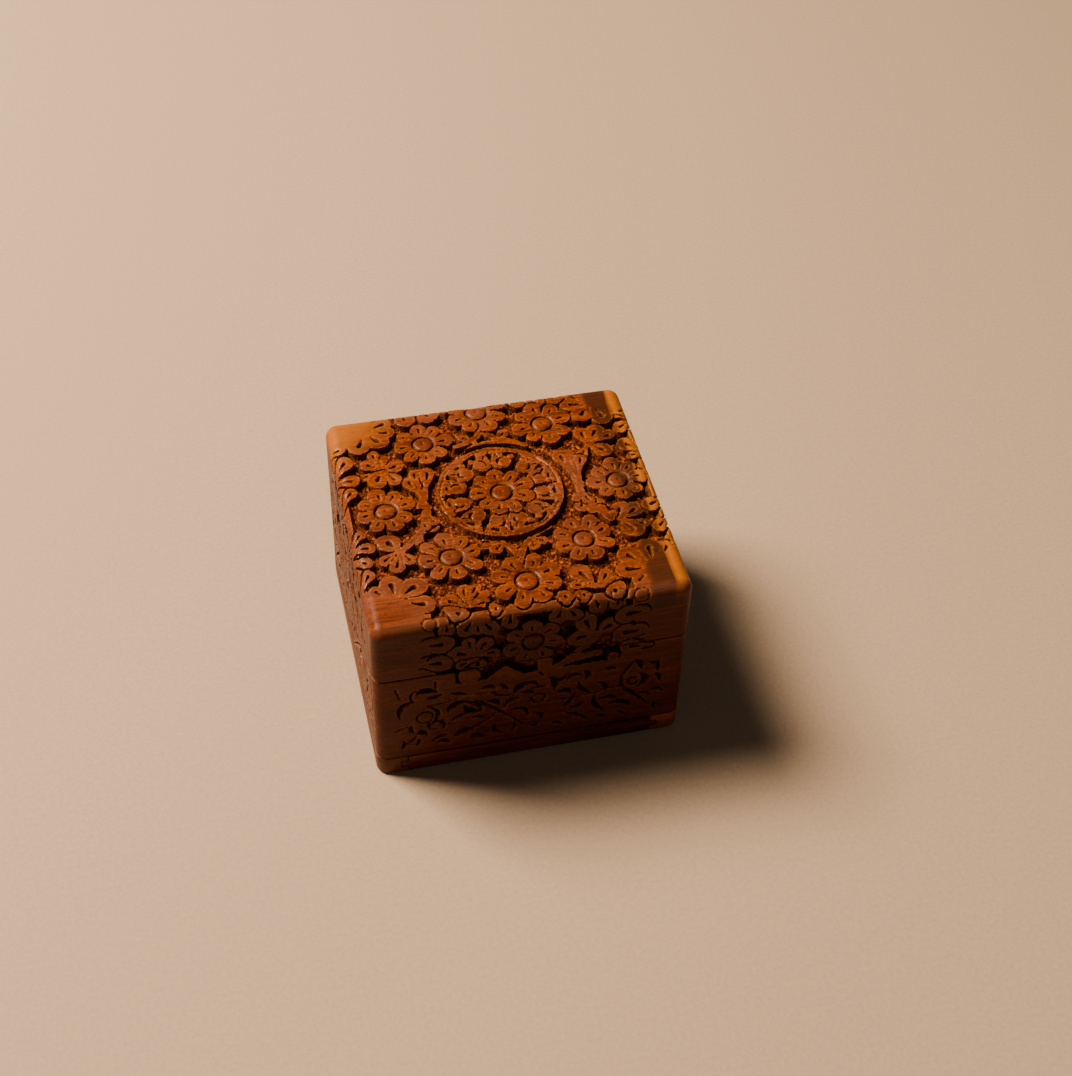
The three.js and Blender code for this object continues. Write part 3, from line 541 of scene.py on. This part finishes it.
# Straight and bent gouge lines: points, half width at the start and at the end
STROKES = [
    ([(-18.2, 30.6), (-8.0, 21.4), (-1.2, 13.0)], 0.55, 0.3), ([(-25.2, 15.0), (-13.0, 19.8), (-11.4, 24.0)], 0.5, 0.25),
    ([(-34.0, 31.8), (-29.0, 32.2), (-24.0, 33.4)], 0.3, 0.2), ([(-13.0, 33.6), (-11.4, 30.8), (-6.0, 30.4)], 0.5, 0.25),
    ([(-44.2, 42.2), (-43.8, 40.0), (-42.8, 37.2)], 0.3, 0.3), ([(-31.4, 43.0), (-31.6, 41.0), (-31.0, 38.0)], 0.35, 0.3),
    ([(0.0, 32.4), (3.0, 32.6), (6.2, 32.2)], 0.35, 0.2), ([(5.0, 24.6), (13.0, 24.4), (21.4, 25.0)], 0.25, 0.2),
    ([(31.4, 24.0), (34.6, 20.6), (39.6, 14.8)], 0.7, 0.42), ([(2.2, 39.6), (2.8, 38.8), (3.6, 38.0)], 0.4, 0.3),
    ([(21.0, 24.8), (24.0, 27.0), (29.0, 26.4)], 0.3, 0.4), ([(-29.0, 33.4), (-20.0, 34.4), (-8.0, 33.0)], 0.18, 0.15),
    ([(-38.2, 17.0), (-39.4, 14.8), (-42.0, 14.0)], 0.4, 0.28), ([(-33.8, 23.0), (-34.6, 20.0), (-31.0, 19.8)], 0.4, 0.22),
    ([(-44.8, 21.2), (-42.4, 22.6), (-40.0, 23.0)], 0.22, 0.2), ([(-31.6, 23.6), (-30.0, 23.4), (-28.6, 23.6)], 0.4, 0.3),
]


def scrolls(face):
    """The base's shallow gouged pattern."""
    for start, middle, end, thick in CRESCENTS:
        crescent(face, start, middle, end, 1.6 * thick, 1.25)
    for points, half, end_half in STROKES:
        engrave(face, bend(*points), 1.5 * half, 1.2 * end_half, 1.1)
    ring(face, (-35.0, 26.4), 2.7, 0.45)
    ring(face, (2.1, 27.0), 2.2, 0.5, -60, 300)
    ring(face, (33.6, 28.0), 1.7, 0.65, 60, 280)


# ---------------------------------------------------------------- the carved skin as one closed mesh
def grid_line(low, high):
    count = int(round((high - low) / CELL))
    return np.linspace(low, high, count + 1)


def make_faces():
    across = grid_line(-FLAT_X - EIGHTH_TURN, FLAT_X + EIGHTH_TURN)
    along = grid_line(-FLAT_Y - EIGHTH_TURN, FLAT_Y + EIGHTH_TURN)
    up = grid_line(SKIN_FOOT, FLAT_TOP + EIGHTH_TURN)
    faces = [Face(*np.meshgrid(across, along), 0, True)]
    for angle in (0, 90, 180, 270):
        faces.append(Face(*np.meshgrid(across if angle % 180 == 0 else along, up), angle, False))
    return faces


SIDES = ((0, 1, 100), (90, -1, 200), (180, 1, 300), (270, -1, 400))


def draw(face):
    for angle, flip, seed in SIDES:
        if face.is_top or face.angle == angle:
            side_design(face, angle, flip, seed)
    top_design(face)
    return face


def snapped(face):
    """The same face with its grid pulled onto the pattern's edges, so that outlines are clean."""
    edge = np.where(np.abs(face.raised) < np.abs(face.cuts), face.raised, face.cuts)
    step_s, step_t = face.s[0, 1] - face.s[0, 0], face.t[1, 0] - face.t[0, 0]
    slope_t, slope_s = np.gradient(edge, step_t, step_s)
    steep = slope_s**2 + slope_t**2
    pull = np.where((np.abs(edge) < 0.55 * CELL) & (steep > 0.2), edge / np.maximum(steep, 0.2), 0.0)
    pull[[0, -1], :] = 0
    pull[:, [0, -1]] = 0
    limit = 0.45 * CELL
    s = face.s - np.clip(pull * slope_s, -limit, limit)
    t = face.t - np.clip(pull * slope_t, -limit, limit)
    return draw(Face(s, t, face.angle, face.is_top))


def skin_points(face):
    """Places of a face's grid in space, sunk along the box's own normal by the carving's depth."""
    depth = face.depth()
    if face.is_top:
        base = np.stack([np.clip(face.s, -FLAT_X, FLAT_X), np.clip(face.t, -FLAT_Y, FLAT_Y)], -1)
        tilt = np.stack([face.s - base[..., 0], face.t - base[..., 1]], -1) / ROUND
        out = np.stack([np.tan(tilt[..., 0]), np.tan(tilt[..., 1]), np.ones(face.s.shape)], -1)
        core = np.concatenate([base, np.full(face.s.shape + (1,), FLAT_TOP)], -1)
    else:
        flat, front = (FLAT_X, FLAT_Y) if face.angle % 180 == 0 else (FLAT_Y, FLAT_X)
        s, z = np.clip(face.s, -flat, flat), np.minimum(face.t, FLAT_TOP)
        out = np.stack([np.tan((face.s - s) / ROUND), -np.ones(s.shape), np.tan((face.t - z) / ROUND)], -1)
        core = np.stack([s, np.full(s.shape, -front), z], -1)
    out /= np.linalg.norm(out, axis=-1, keepdims=True)
    points = core + (ROUND - INSET - depth)[..., None] * out
    x, y = turn(points[..., 0], points[..., 1], face.angle)
    return np.stack([x, y, points[..., 2]], -1)


def weld(points, quads):
    """Joins points that lie together and returns the shared points and the quads on them."""
    keys = np.round((points + 0.000123) * 1000).astype(np.int64)
    _, first, shared = np.unique(keys, axis=0, return_index=True, return_inverse=True)
    return points[first], shared.reshape(-1)[quads]


def skin_mesh(faces):
    points, quads, count, foot = [], [], 0, []
    for face in faces:
        block = skin_points(face)
        rows, columns = block.shape[:2]
        index = np.arange(rows * columns).reshape(rows, columns) + count
        cells = np.stack([index[:-1, :-1], index[:-1, 1:], index[1:, 1:], index[1:, :-1]], -1)
        quads.append(cells.reshape(-1, 4))
        points.append(block.reshape(-1, 3))
        if not face.is_top:
            foot.append(index[0, :-1])
        count += rows * columns
    marker = np.concatenate(foot)
    padded = np.concatenate([quads_block for quads_block in quads])
    merged, welded = weld(np.concatenate(points), np.concatenate([padded.reshape(-1), marker]))
    quads, ring = welded[: padded.size].reshape(-1, 4), welded[padded.size:]
    mesh = bpy.data.meshes.new("carved_skin")
    mesh.vertices.add(len(merged))
    mesh.vertices.foreach_set("co", (merged * MM).ravel())
    corners = np.concatenate([quads.ravel(), ring[::-1]])
    starts = np.concatenate([np.arange(len(quads)) * 4, [len(quads) * 4]])
    mesh.loops.add(len(corners))
    mesh.loops.foreach_set("vertex_index", corners)
    mesh.polygons.add(len(starts))
    mesh.polygons.foreach_set("loop_start", starts)
    mesh.update(calc_edges=True)
    mesh.validate()
    skin = bpy.data.objects.new("carved_skin", mesh)
    bpy.context.scene.collection.objects.link(skin)
    return skin


# ---------------------------------------------------------------- what the materials read from a vertex
def sample(face, s, t, values):
    rows, columns = values.shape
    i = np.clip(np.round((t - face.t[0, 0]) / (face.t[-1, 0] - face.t[0, 0]) * (rows - 1)), 0, rows - 1)
    j = np.clip(np.round((s - face.s[0, 0]) / (face.s[0, -1] - face.s[0, 0]) * (columns - 1)), 0, columns - 1)
    return values[i.astype(int), j.astype(int)]


def relief_at(points, faces):
    """Depth below the uncarved surface, and nearness to a raised edge, for points in millimetres."""
    core = np.stack([
        np.clip(points[:, 0], -FLAT_X, FLAT_X),
        np.clip(points[:, 1], -FLAT_Y, FLAT_Y),
        np.minimum(points[:, 2], FLAT_TOP),
    ], -1)
    out = points - core
    distance = np.linalg.norm(out, axis=1)
    depth = np.where(distance > 0.5, ROUND - INSET - distance, 9.0)
    worn_edge_and_highlight = np.zeros(len(points))
    upward = (out[:, 2] >= np.abs(out[:, 0])) & (out[:, 2] >= np.abs(out[:, 1]))
    for face in faces:
        # nearness to a raised edge, which the materials use for rubbed wear and for a painted highlight
        near = np.exp(-((face.edge() / 0.36) ** 2)) * (face.edge() < 0.3)
        if face.is_top:
            pick = upward & (out[:, 2] > 0.3)
            s = core[:, 0] + ROUND * np.arctan2(out[:, 0], np.maximum(out[:, 2], 1e-6))
            t = core[:, 1] + ROUND * np.arctan2(out[:, 1], np.maximum(out[:, 2], 1e-6))
        else:
            ox, oy = turn(out[:, 0], out[:, 1], -face.angle)
            cx = turn(core[:, 0], core[:, 1], -face.angle)[0]
            front = np.maximum(-oy, 1e-6)
            pick = (-oy > 0.3) & (-oy >= np.abs(ox)) & ~upward
            s = cx + ROUND * np.arctan2(ox, front)
            t = core[:, 2] + ROUND * np.arctan2(np.maximum(out[:, 2], 0), front)
        worn_edge_and_highlight[pick] = sample(face, s[pick], t[pick], near)
    return depth, worn_edge_and_highlight


def paint_relief(piece, faces):
    mesh = piece.data
    points = np.zeros(len(mesh.vertices) * 3, np.float32)
    mesh.vertices.foreach_get("co", points)
    depth, worn_edge_and_highlight = relief_at(points.reshape(-1, 3).astype(float) / MM, faces)
    for name, values in (("relief", np.clip(depth / GROUND, 0, 1.5)), ("worn_edge_and_highlight", worn_edge_and_highlight)):
        layer = mesh.attributes.new(name, "FLOAT", "POINT")
        layer.data.foreach_set("value", values.astype(np.float32))


# ---------------------------------------------------------------- materials
def nodes_of(material):
    material.use_nodes = True
    tree = material.node_tree
    tree.nodes.clear()
    output = tree.nodes.new("ShaderNodeOutputMaterial")
    shader = tree.nodes.new("ShaderNodeBsdfPrincipled")
    tree.links.new(shader.outputs[0], output.inputs[0])
    return tree, shader


class Graph:
    """Short calls for the shader nodes that the materials use."""

    def __init__(self, material):
        self.tree, self.shader = nodes_of(material)

    def node(self, kind, **values):
        made = self.tree.nodes.new(kind)
        for name, value in values.items():
            setattr(made, name, value)
        return made

    def link(self, source, target):
        self.tree.links.new(source, target)

    def object_space(self, scale, turned=(0, 0, 0), shift=(0, 0, 0)):
        place = self.node("ShaderNodeTexCoord")
        mapping = self.node("ShaderNodeMapping")
        mapping.inputs["Location"].default_value = shift
        mapping.inputs["Rotation"].default_value = turned
        mapping.inputs["Scale"].default_value = scale
        self.link(place.outputs["Object"], mapping.inputs["Vector"])
        return mapping.outputs[0]

    def noise(self, vector, scale=1.0, detail=4.0, rough=0.55, distortion=0.0):
        made = self.node("ShaderNodeTexNoise")
        made.inputs["Scale"].default_value = scale
        made.inputs["Detail"].default_value = detail
        made.inputs["Roughness"].default_value = rough
        made.inputs["Distortion"].default_value = distortion
        self.link(vector, made.inputs["Vector"])
        return made.outputs["Fac"]

    def cells(self, vector, scale):
        made = self.node("ShaderNodeTexVoronoi")
        made.inputs["Scale"].default_value = scale
        self.link(vector, made.inputs["Vector"])
        return made.outputs["Distance"]

    def attribute(self, name):
        return self.node("ShaderNodeAttribute", attribute_name=name).outputs["Fac"]

    def ramp(self, value, stops):
        made = self.node("ShaderNodeValToRGB")
        elements = made.color_ramp.elements
        while len(elements) < len(stops):
            elements.new(0.5)
        for element, (position, colour) in zip(elements, stops):
            element.position = position
            element.color = (*colour, 1.0)
        self.link(value, made.inputs["Fac"])
        return made.outputs["Color"]

    def span(self, value, low, high, to_low=0.0, to_high=1.0):
        made = self.node("ShaderNodeMapRange")
        for name, number in (("From Min", low), ("From Max", high), ("To Min", to_low), ("To Max", to_high)):
            made.inputs[name].default_value = number
        self.link(value, made.inputs["Value"])
        return made.outputs[0]

    def maths(self, operation, first, second):
        made = self.node("ShaderNodeMath", operation=operation)
        for socket, value in zip(made.inputs, (first, second)):
            if isinstance(value, (int, float)):
                socket.default_value = value
            else:
                self.link(value, socket)
        return made.outputs[0]

    def mix(self, factor, first, second, blend="MIX"):
        made = self.node("ShaderNodeMix", data_type="RGBA", blend_type=blend)
        sockets = [made.inputs["Factor"], made.inputs[6], made.inputs[7]]
        for socket, value in zip(sockets, (factor, first, second)):
            if isinstance(value, (int, float)):
                socket.default_value = value
            elif isinstance(value, tuple):
                socket.default_value = (*value, 1.0)
            else:
                self.link(value, socket)
        return made.outputs[2]

    def bump(self, height, strength, distance, normal=None):
        made = self.node("ShaderNodeBump")
        made.inputs["Strength"].default_value = strength
        made.inputs["Distance"].default_value = distance
        self.link(height, made.inputs["Height"])
        if normal is not None:
            self.link(normal, made.inputs["Normal"])
        return made.outputs["Normal"]


# Colours of the wood, darkest to lightest
HEART = [(0.026, 0.0032, 0.0005), (0.070, 0.0090, 0.0009), (0.125, 0.0170, 0.0014), (0.19, 0.030, 0.003)]
BROWN = [(0.030, 0.0048, 0.0003), (0.070, 0.0125, 0.0006), (0.120, 0.0230, 0.0010), (0.19, 0.040, 0.002)]
BODY = [(0.034, 0.0052, 0.0004), (0.125, 0.0210, 0.0010), (0.235, 0.0440, 0.0019), (0.40, 0.090, 0.0042)]
SHADE = (0.50, 0.42, 0.34)
PALE = [(0.10, 0.020, 0.001), (0.22, 0.050, 0.002), (0.34, 0.085, 0.004), (0.46, 0.14, 0.010)]
BAND = (0.030, 0.0100, 0.0040)
SAPWOOD = (0.42, 0.128, 0.001)
# painted shade, darker and greyer, on the lid top's front edge where it rounds over
FRONT_ROUNDING_SHADE = (0.100, 0.035, 0.018)
GREY = (0.150, 0.047, 0.021)
GROUND_DARK = (0.008, 0.0010, 0.0001)
GROUND_RED = (0.100, 0.0150, 0.0003)
# painted glints: bright specks on the cleared ground
GROUND_GLINT = (0.70, 0.145, 0.002)
# painted shade, near black, for the carving's walls and slots and its shallow hollows
RECESS_SHADE = (0.013, 0.0018, 0.0001)
# rubbed wear and painted highlight along the carving's raised edges
RUBBED_HIGHLIGHT = (0.52, 0.165, 0.032)
GRAIN_TURN = {"X": (0, 0, 0), "Y": (0, 0, math.pi / 2), "Z": (0, math.pi / 2, 0)}


def grain(graph, axis, seed, tones):
    """Long streaks, fine fibres and dark pores that run along one axis. Returns colour, fibres and pores."""
    turned = GRAIN_TURN[axis]
    shift = (0.13 * seed, 0.37 * seed, 0.71 * seed)
    broad = graph.noise(graph.object_space((7, 75, 75), turned, shift), 1.0, 3.0, 0.55, 0.9)
    streak = graph.noise(graph.object_space((18, 420, 420), turned, shift), 1.0, 5.0, 0.65, 0.4)
    fibre = graph.noise(graph.object_space((60, 1500, 1500), turned, shift), 1.0, 3.0, 0.6)
    pore = graph.span(graph.noise(graph.object_space((160, 1900, 1900), turned, shift), 1.0, 1.0), 0.66, 0.74)
    value = graph.maths("ADD", graph.maths("MULTIPLY", broad, 0.62), graph.maths("MULTIPLY", streak, 0.38))
    stops = [(0.30, tones[0]), (0.43, tones[1]), (0.57, tones[2]), (0.74, tones[3])]
    colour = graph.ramp(value, stops)
    colour = graph.mix(graph.span(fibre, 0.44, 0.64, 0.0, 0.72), colour, tones[0])
    colour = graph.mix(graph.maths("MULTIPLY", pore, 0.7), colour, tones[0])
    return colour, fibre, pore


def wood(name, axis, seed, tones, carved=False, rough=(0.34, 0.55), heart_band=None, gloss=0.16):
    material = bpy.data.materials.new(name)
    graph = Graph(material)
    colour, fibre, pore = grain(graph, axis, seed, tones)
    plain_space = graph.object_space((1, 1, 1))
    patches = graph.noise(plain_space, 38.0, 3.0, 0.6)
    fine = graph.noise(plain_space, 900.0, 3.0, 0.6)
    roughness = graph.span(patches, 0.3, 0.7, *rough)
    height = graph.maths("SUBTRACT", graph.maths("MULTIPLY", fibre, 0.5), pore)
    if carved:
        relief, worn_edge_and_highlight = graph.attribute("relief"), graph.attribute("worn_edge_and_highlight")
        colour = graph.mix(graph.span(fine, 0.5, 0.36, 0.0, 0.45), colour, tones[0])
        hand = graph.span(patches, 0.38, 0.66, 0.0, 0.5)
        colour = graph.mix(hand, colour, GREY)
        if heart_band:
            colour = add_heart_band(graph, colour, heart_band)
        pricks = graph.cells(plain_space, 1150.0)
        ground = graph.mix(graph.span(pricks, 0.2, 0.6), GROUND_DARK, GROUND_RED)
        # painted glints scattered over the ground
        ground = graph.mix(graph.span(fine, 0.51, 0.64, 0.0, 0.85), ground, GROUND_GLINT)
        # painted shade on the carving's walls and in its slots, by the relief's depth
        wall_shade = graph.mix(0.88, colour, RECESS_SHADE)
        colour = graph.mix(graph.span(relief, 0.17, 0.32), colour, wall_shade)
        colour = graph.mix(graph.span(relief, 0.72, 0.94), colour, ground)
        # painted shade in shallow hollows such as the petals' bowls, kept off the raised edges
        hollow_shade = graph.maths("MULTIPLY", graph.span(relief, 0.035, 0.16), graph.maths("SUBTRACT", 1.0, worn_edge_and_highlight))
        colour = graph.mix(graph.maths("MULTIPLY", hollow_shade, 0.28), colour, RECESS_SHADE)
        # rubbed wear and painted highlight near raised edges
        rubbed_highlight = graph.maths("MULTIPLY", worn_edge_and_highlight, graph.span(fine, 0.36, 0.66, 0.0, 0.42))
        colour = graph.mix(rubbed_highlight, colour, RUBBED_HIGHLIGHT)
        place = graph.node("ShaderNodeSeparateXYZ")
        graph.link(plain_space, place.inputs[0])
        below = graph.span(place.outputs["Z"], 0.0688, 0.0655)
        colour = graph.mix(below, colour, SHADE, "MULTIPLY")
        low = graph.span(relief, 0.5, 0.95)
        roughness = graph.maths("ADD", roughness, graph.span(relief, 0.1, 0.4, 0.0, 0.3))
        roughness = graph.maths("SUBTRACT", roughness, graph.maths("MULTIPLY", worn_edge_and_highlight, 0.26))
        height = graph.maths("ADD", height, graph.maths("MULTIPLY", graph.maths("MULTIPLY", pricks, low), 4.0))
    graph.link(colour, graph.shader.inputs["Base Color"])
    graph.link(roughness, graph.shader.inputs["Roughness"])
    graph.shader.inputs["Specular IOR Level"].default_value = gloss
    graph.shader.inputs["Coat Weight"].default_value = 0.4 * gloss
    graph.shader.inputs["Coat Roughness"].default_value = 0.16
    rippled = graph.bump(fine, 0.25, 0.0002)
    graph.link(graph.bump(height, 0.55, 0.00025, rippled), graph.shader.inputs["Normal"])
    return material


def add_heart_band(graph, colour, band):
    """Dark heartwood between two places across the board, pale sapwood beyond it and in one corner, and painted shade
    along the front edge's rounding.
    """
    low, high = band
    place = graph.node("ShaderNodeSeparateXYZ")
    graph.link(graph.object_space((1, 1, 1)), place.inputs[0])
    sway = graph.noise(graph.object_space((90, 14, 90)), 1.0, 3.0, 0.6)
    x = graph.maths("ADD", place.outputs["X"], graph.span(sway, 0.3, 0.7, -0.002, 0.002))
    beyond = graph.span(x, high - 0.0007, high + 0.0007)
    inside = graph.maths("SUBTRACT", graph.span(x, low - 0.001, low + 0.001), beyond)
    corner = graph.span(graph.maths("SUBTRACT", place.outputs["Y"], x), 0.070, 0.088)
    upper = graph.span(place.outputs["Z"], 0.062, 0.067)
    pale = graph.maths("MULTIPLY", graph.maths("MAXIMUM", beyond, corner), graph.maths("MULTIPLY", upper, 0.6))
    colour = graph.mix(graph.maths("MULTIPLY", inside, 0.84), colour, BAND)
    colour = graph.mix(pale, colour, SAPWOOD)
    # painted shade on the front edge's rounding
    front_rounding_shade = graph.span(graph.maths("ADD", place.outputs["Y"], graph.span(sway, 0.3, 0.7, -0.0015, 0.0015)), -0.0442, -0.0462)
    return graph.mix(graph.maths("MULTIPLY", front_rounding_shade, 0.72), colour, FRONT_ROUNDING_SHADE)


def metal(name, colour, dark, rough=(0.24, 0.5)):
    material = bpy.data.materials.new(name)
    graph = Graph(material)
    space = graph.object_space((1, 1, 1))
    tarnish = graph.noise(space, 210.0, 5.0, 0.65)
    scratches = graph.noise(graph.object_space((160, 5200, 5200)), 1.0, 2.0)
    graph.link(graph.mix(graph.span(tarnish, 0.42, 0.72), colour, dark), graph.shader.inputs["Base Color"])
    graph.shader.inputs["Metallic"].default_value = 1.0
    spread = graph.maths("ADD", graph.maths("MULTIPLY", tarnish, 0.6), graph.maths("MULTIPLY", scratches, 0.4))
    graph.link(graph.span(spread, 0.3, 0.7, *rough), graph.shader.inputs["Roughness"])
    graph.link(graph.bump(scratches, 0.2, 0.00005), graph.shader.inputs["Normal"])
    return material


# ---------------------------------------------------------------- pieces
def board_copy(node):
    """The CAD board with its split corners welded, as a new object to work on."""
    mesh = frame["nodes"][node].data.copy()
    work = bmesh.new()
    work.from_mesh(mesh)
    bmesh.ops.remove_doubles(work, verts=work.verts, dist=1e-6)
    work.to_mesh(mesh)
    work.free()
    mesh.materials.clear()
    for name in [a.name for a in mesh.color_attributes]:
        mesh.color_attributes.remove(mesh.color_attributes[name])
    while mesh.uv_layers:
        mesh.uv_layers.remove(mesh.uv_layers[0])
    copy = bpy.data.objects.new(node + "_carved", mesh)
    bpy.context.scene.collection.objects.link(copy)
    return copy


def bake_modifiers(piece):
    graph = bpy.context.evaluated_depsgraph_get()
    mesh = bpy.data.meshes.new_from_object(piece.evaluated_get(graph), depsgraph=graph)
    old = piece.data
    piece.modifiers.clear()
    piece.data = mesh
    bpy.data.meshes.remove(old)


def sharpen(mesh, degrees):
    """Smooth shading, with sharp edges where the surface turns or the material changes."""
    for polygon in mesh.polygons:
        polygon.use_smooth = True
    work = bmesh.new()
    work.from_mesh(mesh)
    limit = math.radians(degrees)
    for edge in work.edges:
        if len(edge.link_faces) != 2:
            continue
        one, two = edge.link_faces
        meet = one.material_index == two.material_index
        edge.smooth = meet and one.normal.angle(two.normal, 0) < limit
    work.to_mesh(mesh)
    work.free()


def carve(node, body, skin, faces, sawn, carved):
    """The board cut to the carved skin. It stands for its CAD node."""
    piece = board_copy(node)
    piece.data.materials.append(sawn)
    piece.data.materials.append(carved)
    piece.data.polygons.foreach_set("material_index", [0] * len(piece.data.polygons))
    skin.data.materials.clear()
    skin.data.materials.append(carved)
    cutter = piece.modifiers.new("carve", "BOOLEAN")
    cutter.operation = "INTERSECT"
    cutter.solver = "MANIFOLD"
    cutter.material_mode = "TRANSFER"
    cutter.object = skin
    bake_modifiers(piece)
    paint_relief(piece, faces)
    sharpen(piece.data, 44)
    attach(piece, body)
    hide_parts(node)
    return piece


def soften(node, body, material, width=0.25, segments=2):
    """The CAD piece with eased edges. It stands for its CAD node."""
    piece = board_copy(node)
    piece.name = node + "_eased"
    piece.data.materials.append(material)
    easing = piece.modifiers.new("ease", "BEVEL")
    easing.width = width * MM
    easing.segments = segments
    easing.limit_method = "ANGLE"
    easing.angle_limit = math.radians(32)
    easing.use_clamp_overlap = True
    bake_modifiers(piece)
    sharpen(piece.data, 40)
    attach(piece, body)
    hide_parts(node)
    return piece


BODY_OF = {node: body for body, members in frame["record"]["behaviour"]["bodies"].items() for node in members}
SLOT_OF = {row["node"]: row["material_slot"] for row in frame["record"]["subparts"]}


def wooden_pieces():
    faces = [draw(face) for face in make_faces()]
    skin = skin_mesh([snapped(face) for face in faces])
    boards = {
        "lid_top": ("Y", 1, (0.0378, 0.0458)),
        "lid_front_rail": ("X", 2, None),
        "lid_back_rail": ("X", 3, None),
        "lid_left_rail": ("Y", 4, None),
        "lid_right_rail": ("Y", 5, None),
        "front_panel": ("X", 6, None),
        "back_wall": ("X", 7, None),
        "left_wall": ("Y", 8, None),
        "right_wall": ("Y", 9, None),
    }
    for node, (axis, seed, band) in boards.items():
        carved = wood(node + "_surface", axis, seed, BODY, True, heart_band=band, gloss=0.1)
        sawn = wood(node + "_sawn", axis, seed, BODY, False, (0.5, 0.7))
        carve(node, BODY_OF[node], skin, faces, sawn, carved)
    bpy.data.objects.remove(skin)


def plain_pieces():
    looks = {
        "heartwood": wood("heartwood", "X", 11, HEART),
        "pale_wood": wood("pale_wood", "Y", 12, PALE),
        "left_plinth_rail": wood("brown_wood", "Y", 14, BROWN),
        "plain_wood": wood("plain_wood", "X", 13, PALE, False, (0.55, 0.75)),
        "brass": metal("aged_brass", (0.72, 0.48, 0.19), (0.30, 0.17, 0.06)),
        "brass_small": metal("bright_brass", (0.80, 0.56, 0.24), (0.42, 0.25, 0.09), (0.18, 0.4)),
    }
    widths = {"heartwood": 0.35, "pale_wood": 0.35, "plain_wood": 0.25, "brass": 0.12, "brass_small": 0.06}
    for node in frame["nodes"]:
        slot_name = SLOT_OF[node]
        if slot_name != "carved_wood":
            look = looks.get(node, looks[slot_name])
            soften(node, BODY_OF[node], look, widths[slot_name])


# ---------------------------------------------------------------- floor, light and camera
def stage():
    size = 3.0
    mesh = bpy.data.meshes.new("floor")
    mesh.from_pydata([(-size, -size, 0), (size, -size, 0), (size, size, 0), (-size, size, 0)], [], [(0, 1, 2, 3)])
    floor = bpy.data.objects.new("floor", mesh)
    bpy.context.scene.collection.objects.link(floor)
    material = bpy.data.materials.new("floor")
    graph = Graph(material)
    speckle = graph.noise(graph.object_space((1, 1, 1)), 700.0, 4.0)
    graph.link(graph.ramp(speckle, [(0.3, (0.38, 0.282, 0.200)), (0.7, (0.43, 0.322, 0.23))]), graph.shader.inputs["Base Color"])
    graph.shader.inputs["Roughness"].default_value = 0.85
    graph.link(graph.bump(speckle, 0.15, 0.0002), graph.shader.inputs["Normal"])
    mesh.materials.append(material)


def area_light(name, position, target, size, power, colour):
    data = bpy.data.lights.new(name, "AREA")
    data.size = size
    data.energy = power
    data.color = colour
    light = bpy.data.objects.new(name, data)
    light.location = position
    light.rotation_mode = "QUATERNION"
    light.rotation_quaternion = (Vector(target) - Vector(position)).to_track_quat("-Z", "Y")
    bpy.context.scene.collection.objects.link(light)


def lights():
    middle = (0, 0, 0.04)
    area_light("key", (-0.84, 0.58, 1.25), middle, 0.66, 88.0, (1.0, 0.77, 0.55))
    area_light("fill", (0.45, -1.5, 1.03), middle, 1.35, 1.65, (1.0, 0.84, 0.68))
    world = bpy.data.worlds.new("studio")
    world.use_nodes = True
    world.node_tree.nodes["Background"].inputs[0].default_value = (1.0, 0.84, 0.70, 1.0)
    world.node_tree.nodes["Background"].inputs[1].default_value = 0.05
    bpy.context.scene.world = world


def camera():
    azimuth, elevation, roll = (math.radians(v) for v in (-14.64, 45.79, 2.26))
    distance, shift_x, shift_y = 0.5961, -0.01185, -0.01228
    focal_pixels, long_side, sensor = 1769.6, 1076, 36.0
    back = Vector((
        math.sin(azimuth) * math.cos(elevation),
        -math.cos(azimuth) * math.cos(elevation),
        math.sin(elevation),
    ))
    level = Vector((math.cos(azimuth), math.sin(azimuth), 0))
    upright = back.cross(level)
    right = math.cos(roll) * level + math.sin(roll) * upright
    up = -math.sin(roll) * level + math.cos(roll) * upright
    data = bpy.data.cameras.new("camera")
    data.sensor_width = sensor
    data.lens = focal_pixels / long_side * sensor
    data.clip_start = 0.01
    data.clip_end = 20.0
    eye = bpy.data.objects.new("camera", data)
    bpy.context.scene.collection.objects.link(eye)
    centre = (CAD_BOX[0] + CAD_BOX[1]) / 2
    eye.matrix_world = Matrix.Translation(
        centre + distance * back - shift_x * right - shift_y * up
    ) @ Matrix((right, up, back)).transposed().to_4x4()
    bpy.context.scene.camera = eye


camera()
lights()
stage()
wooden_pieces()
plain_pieces()
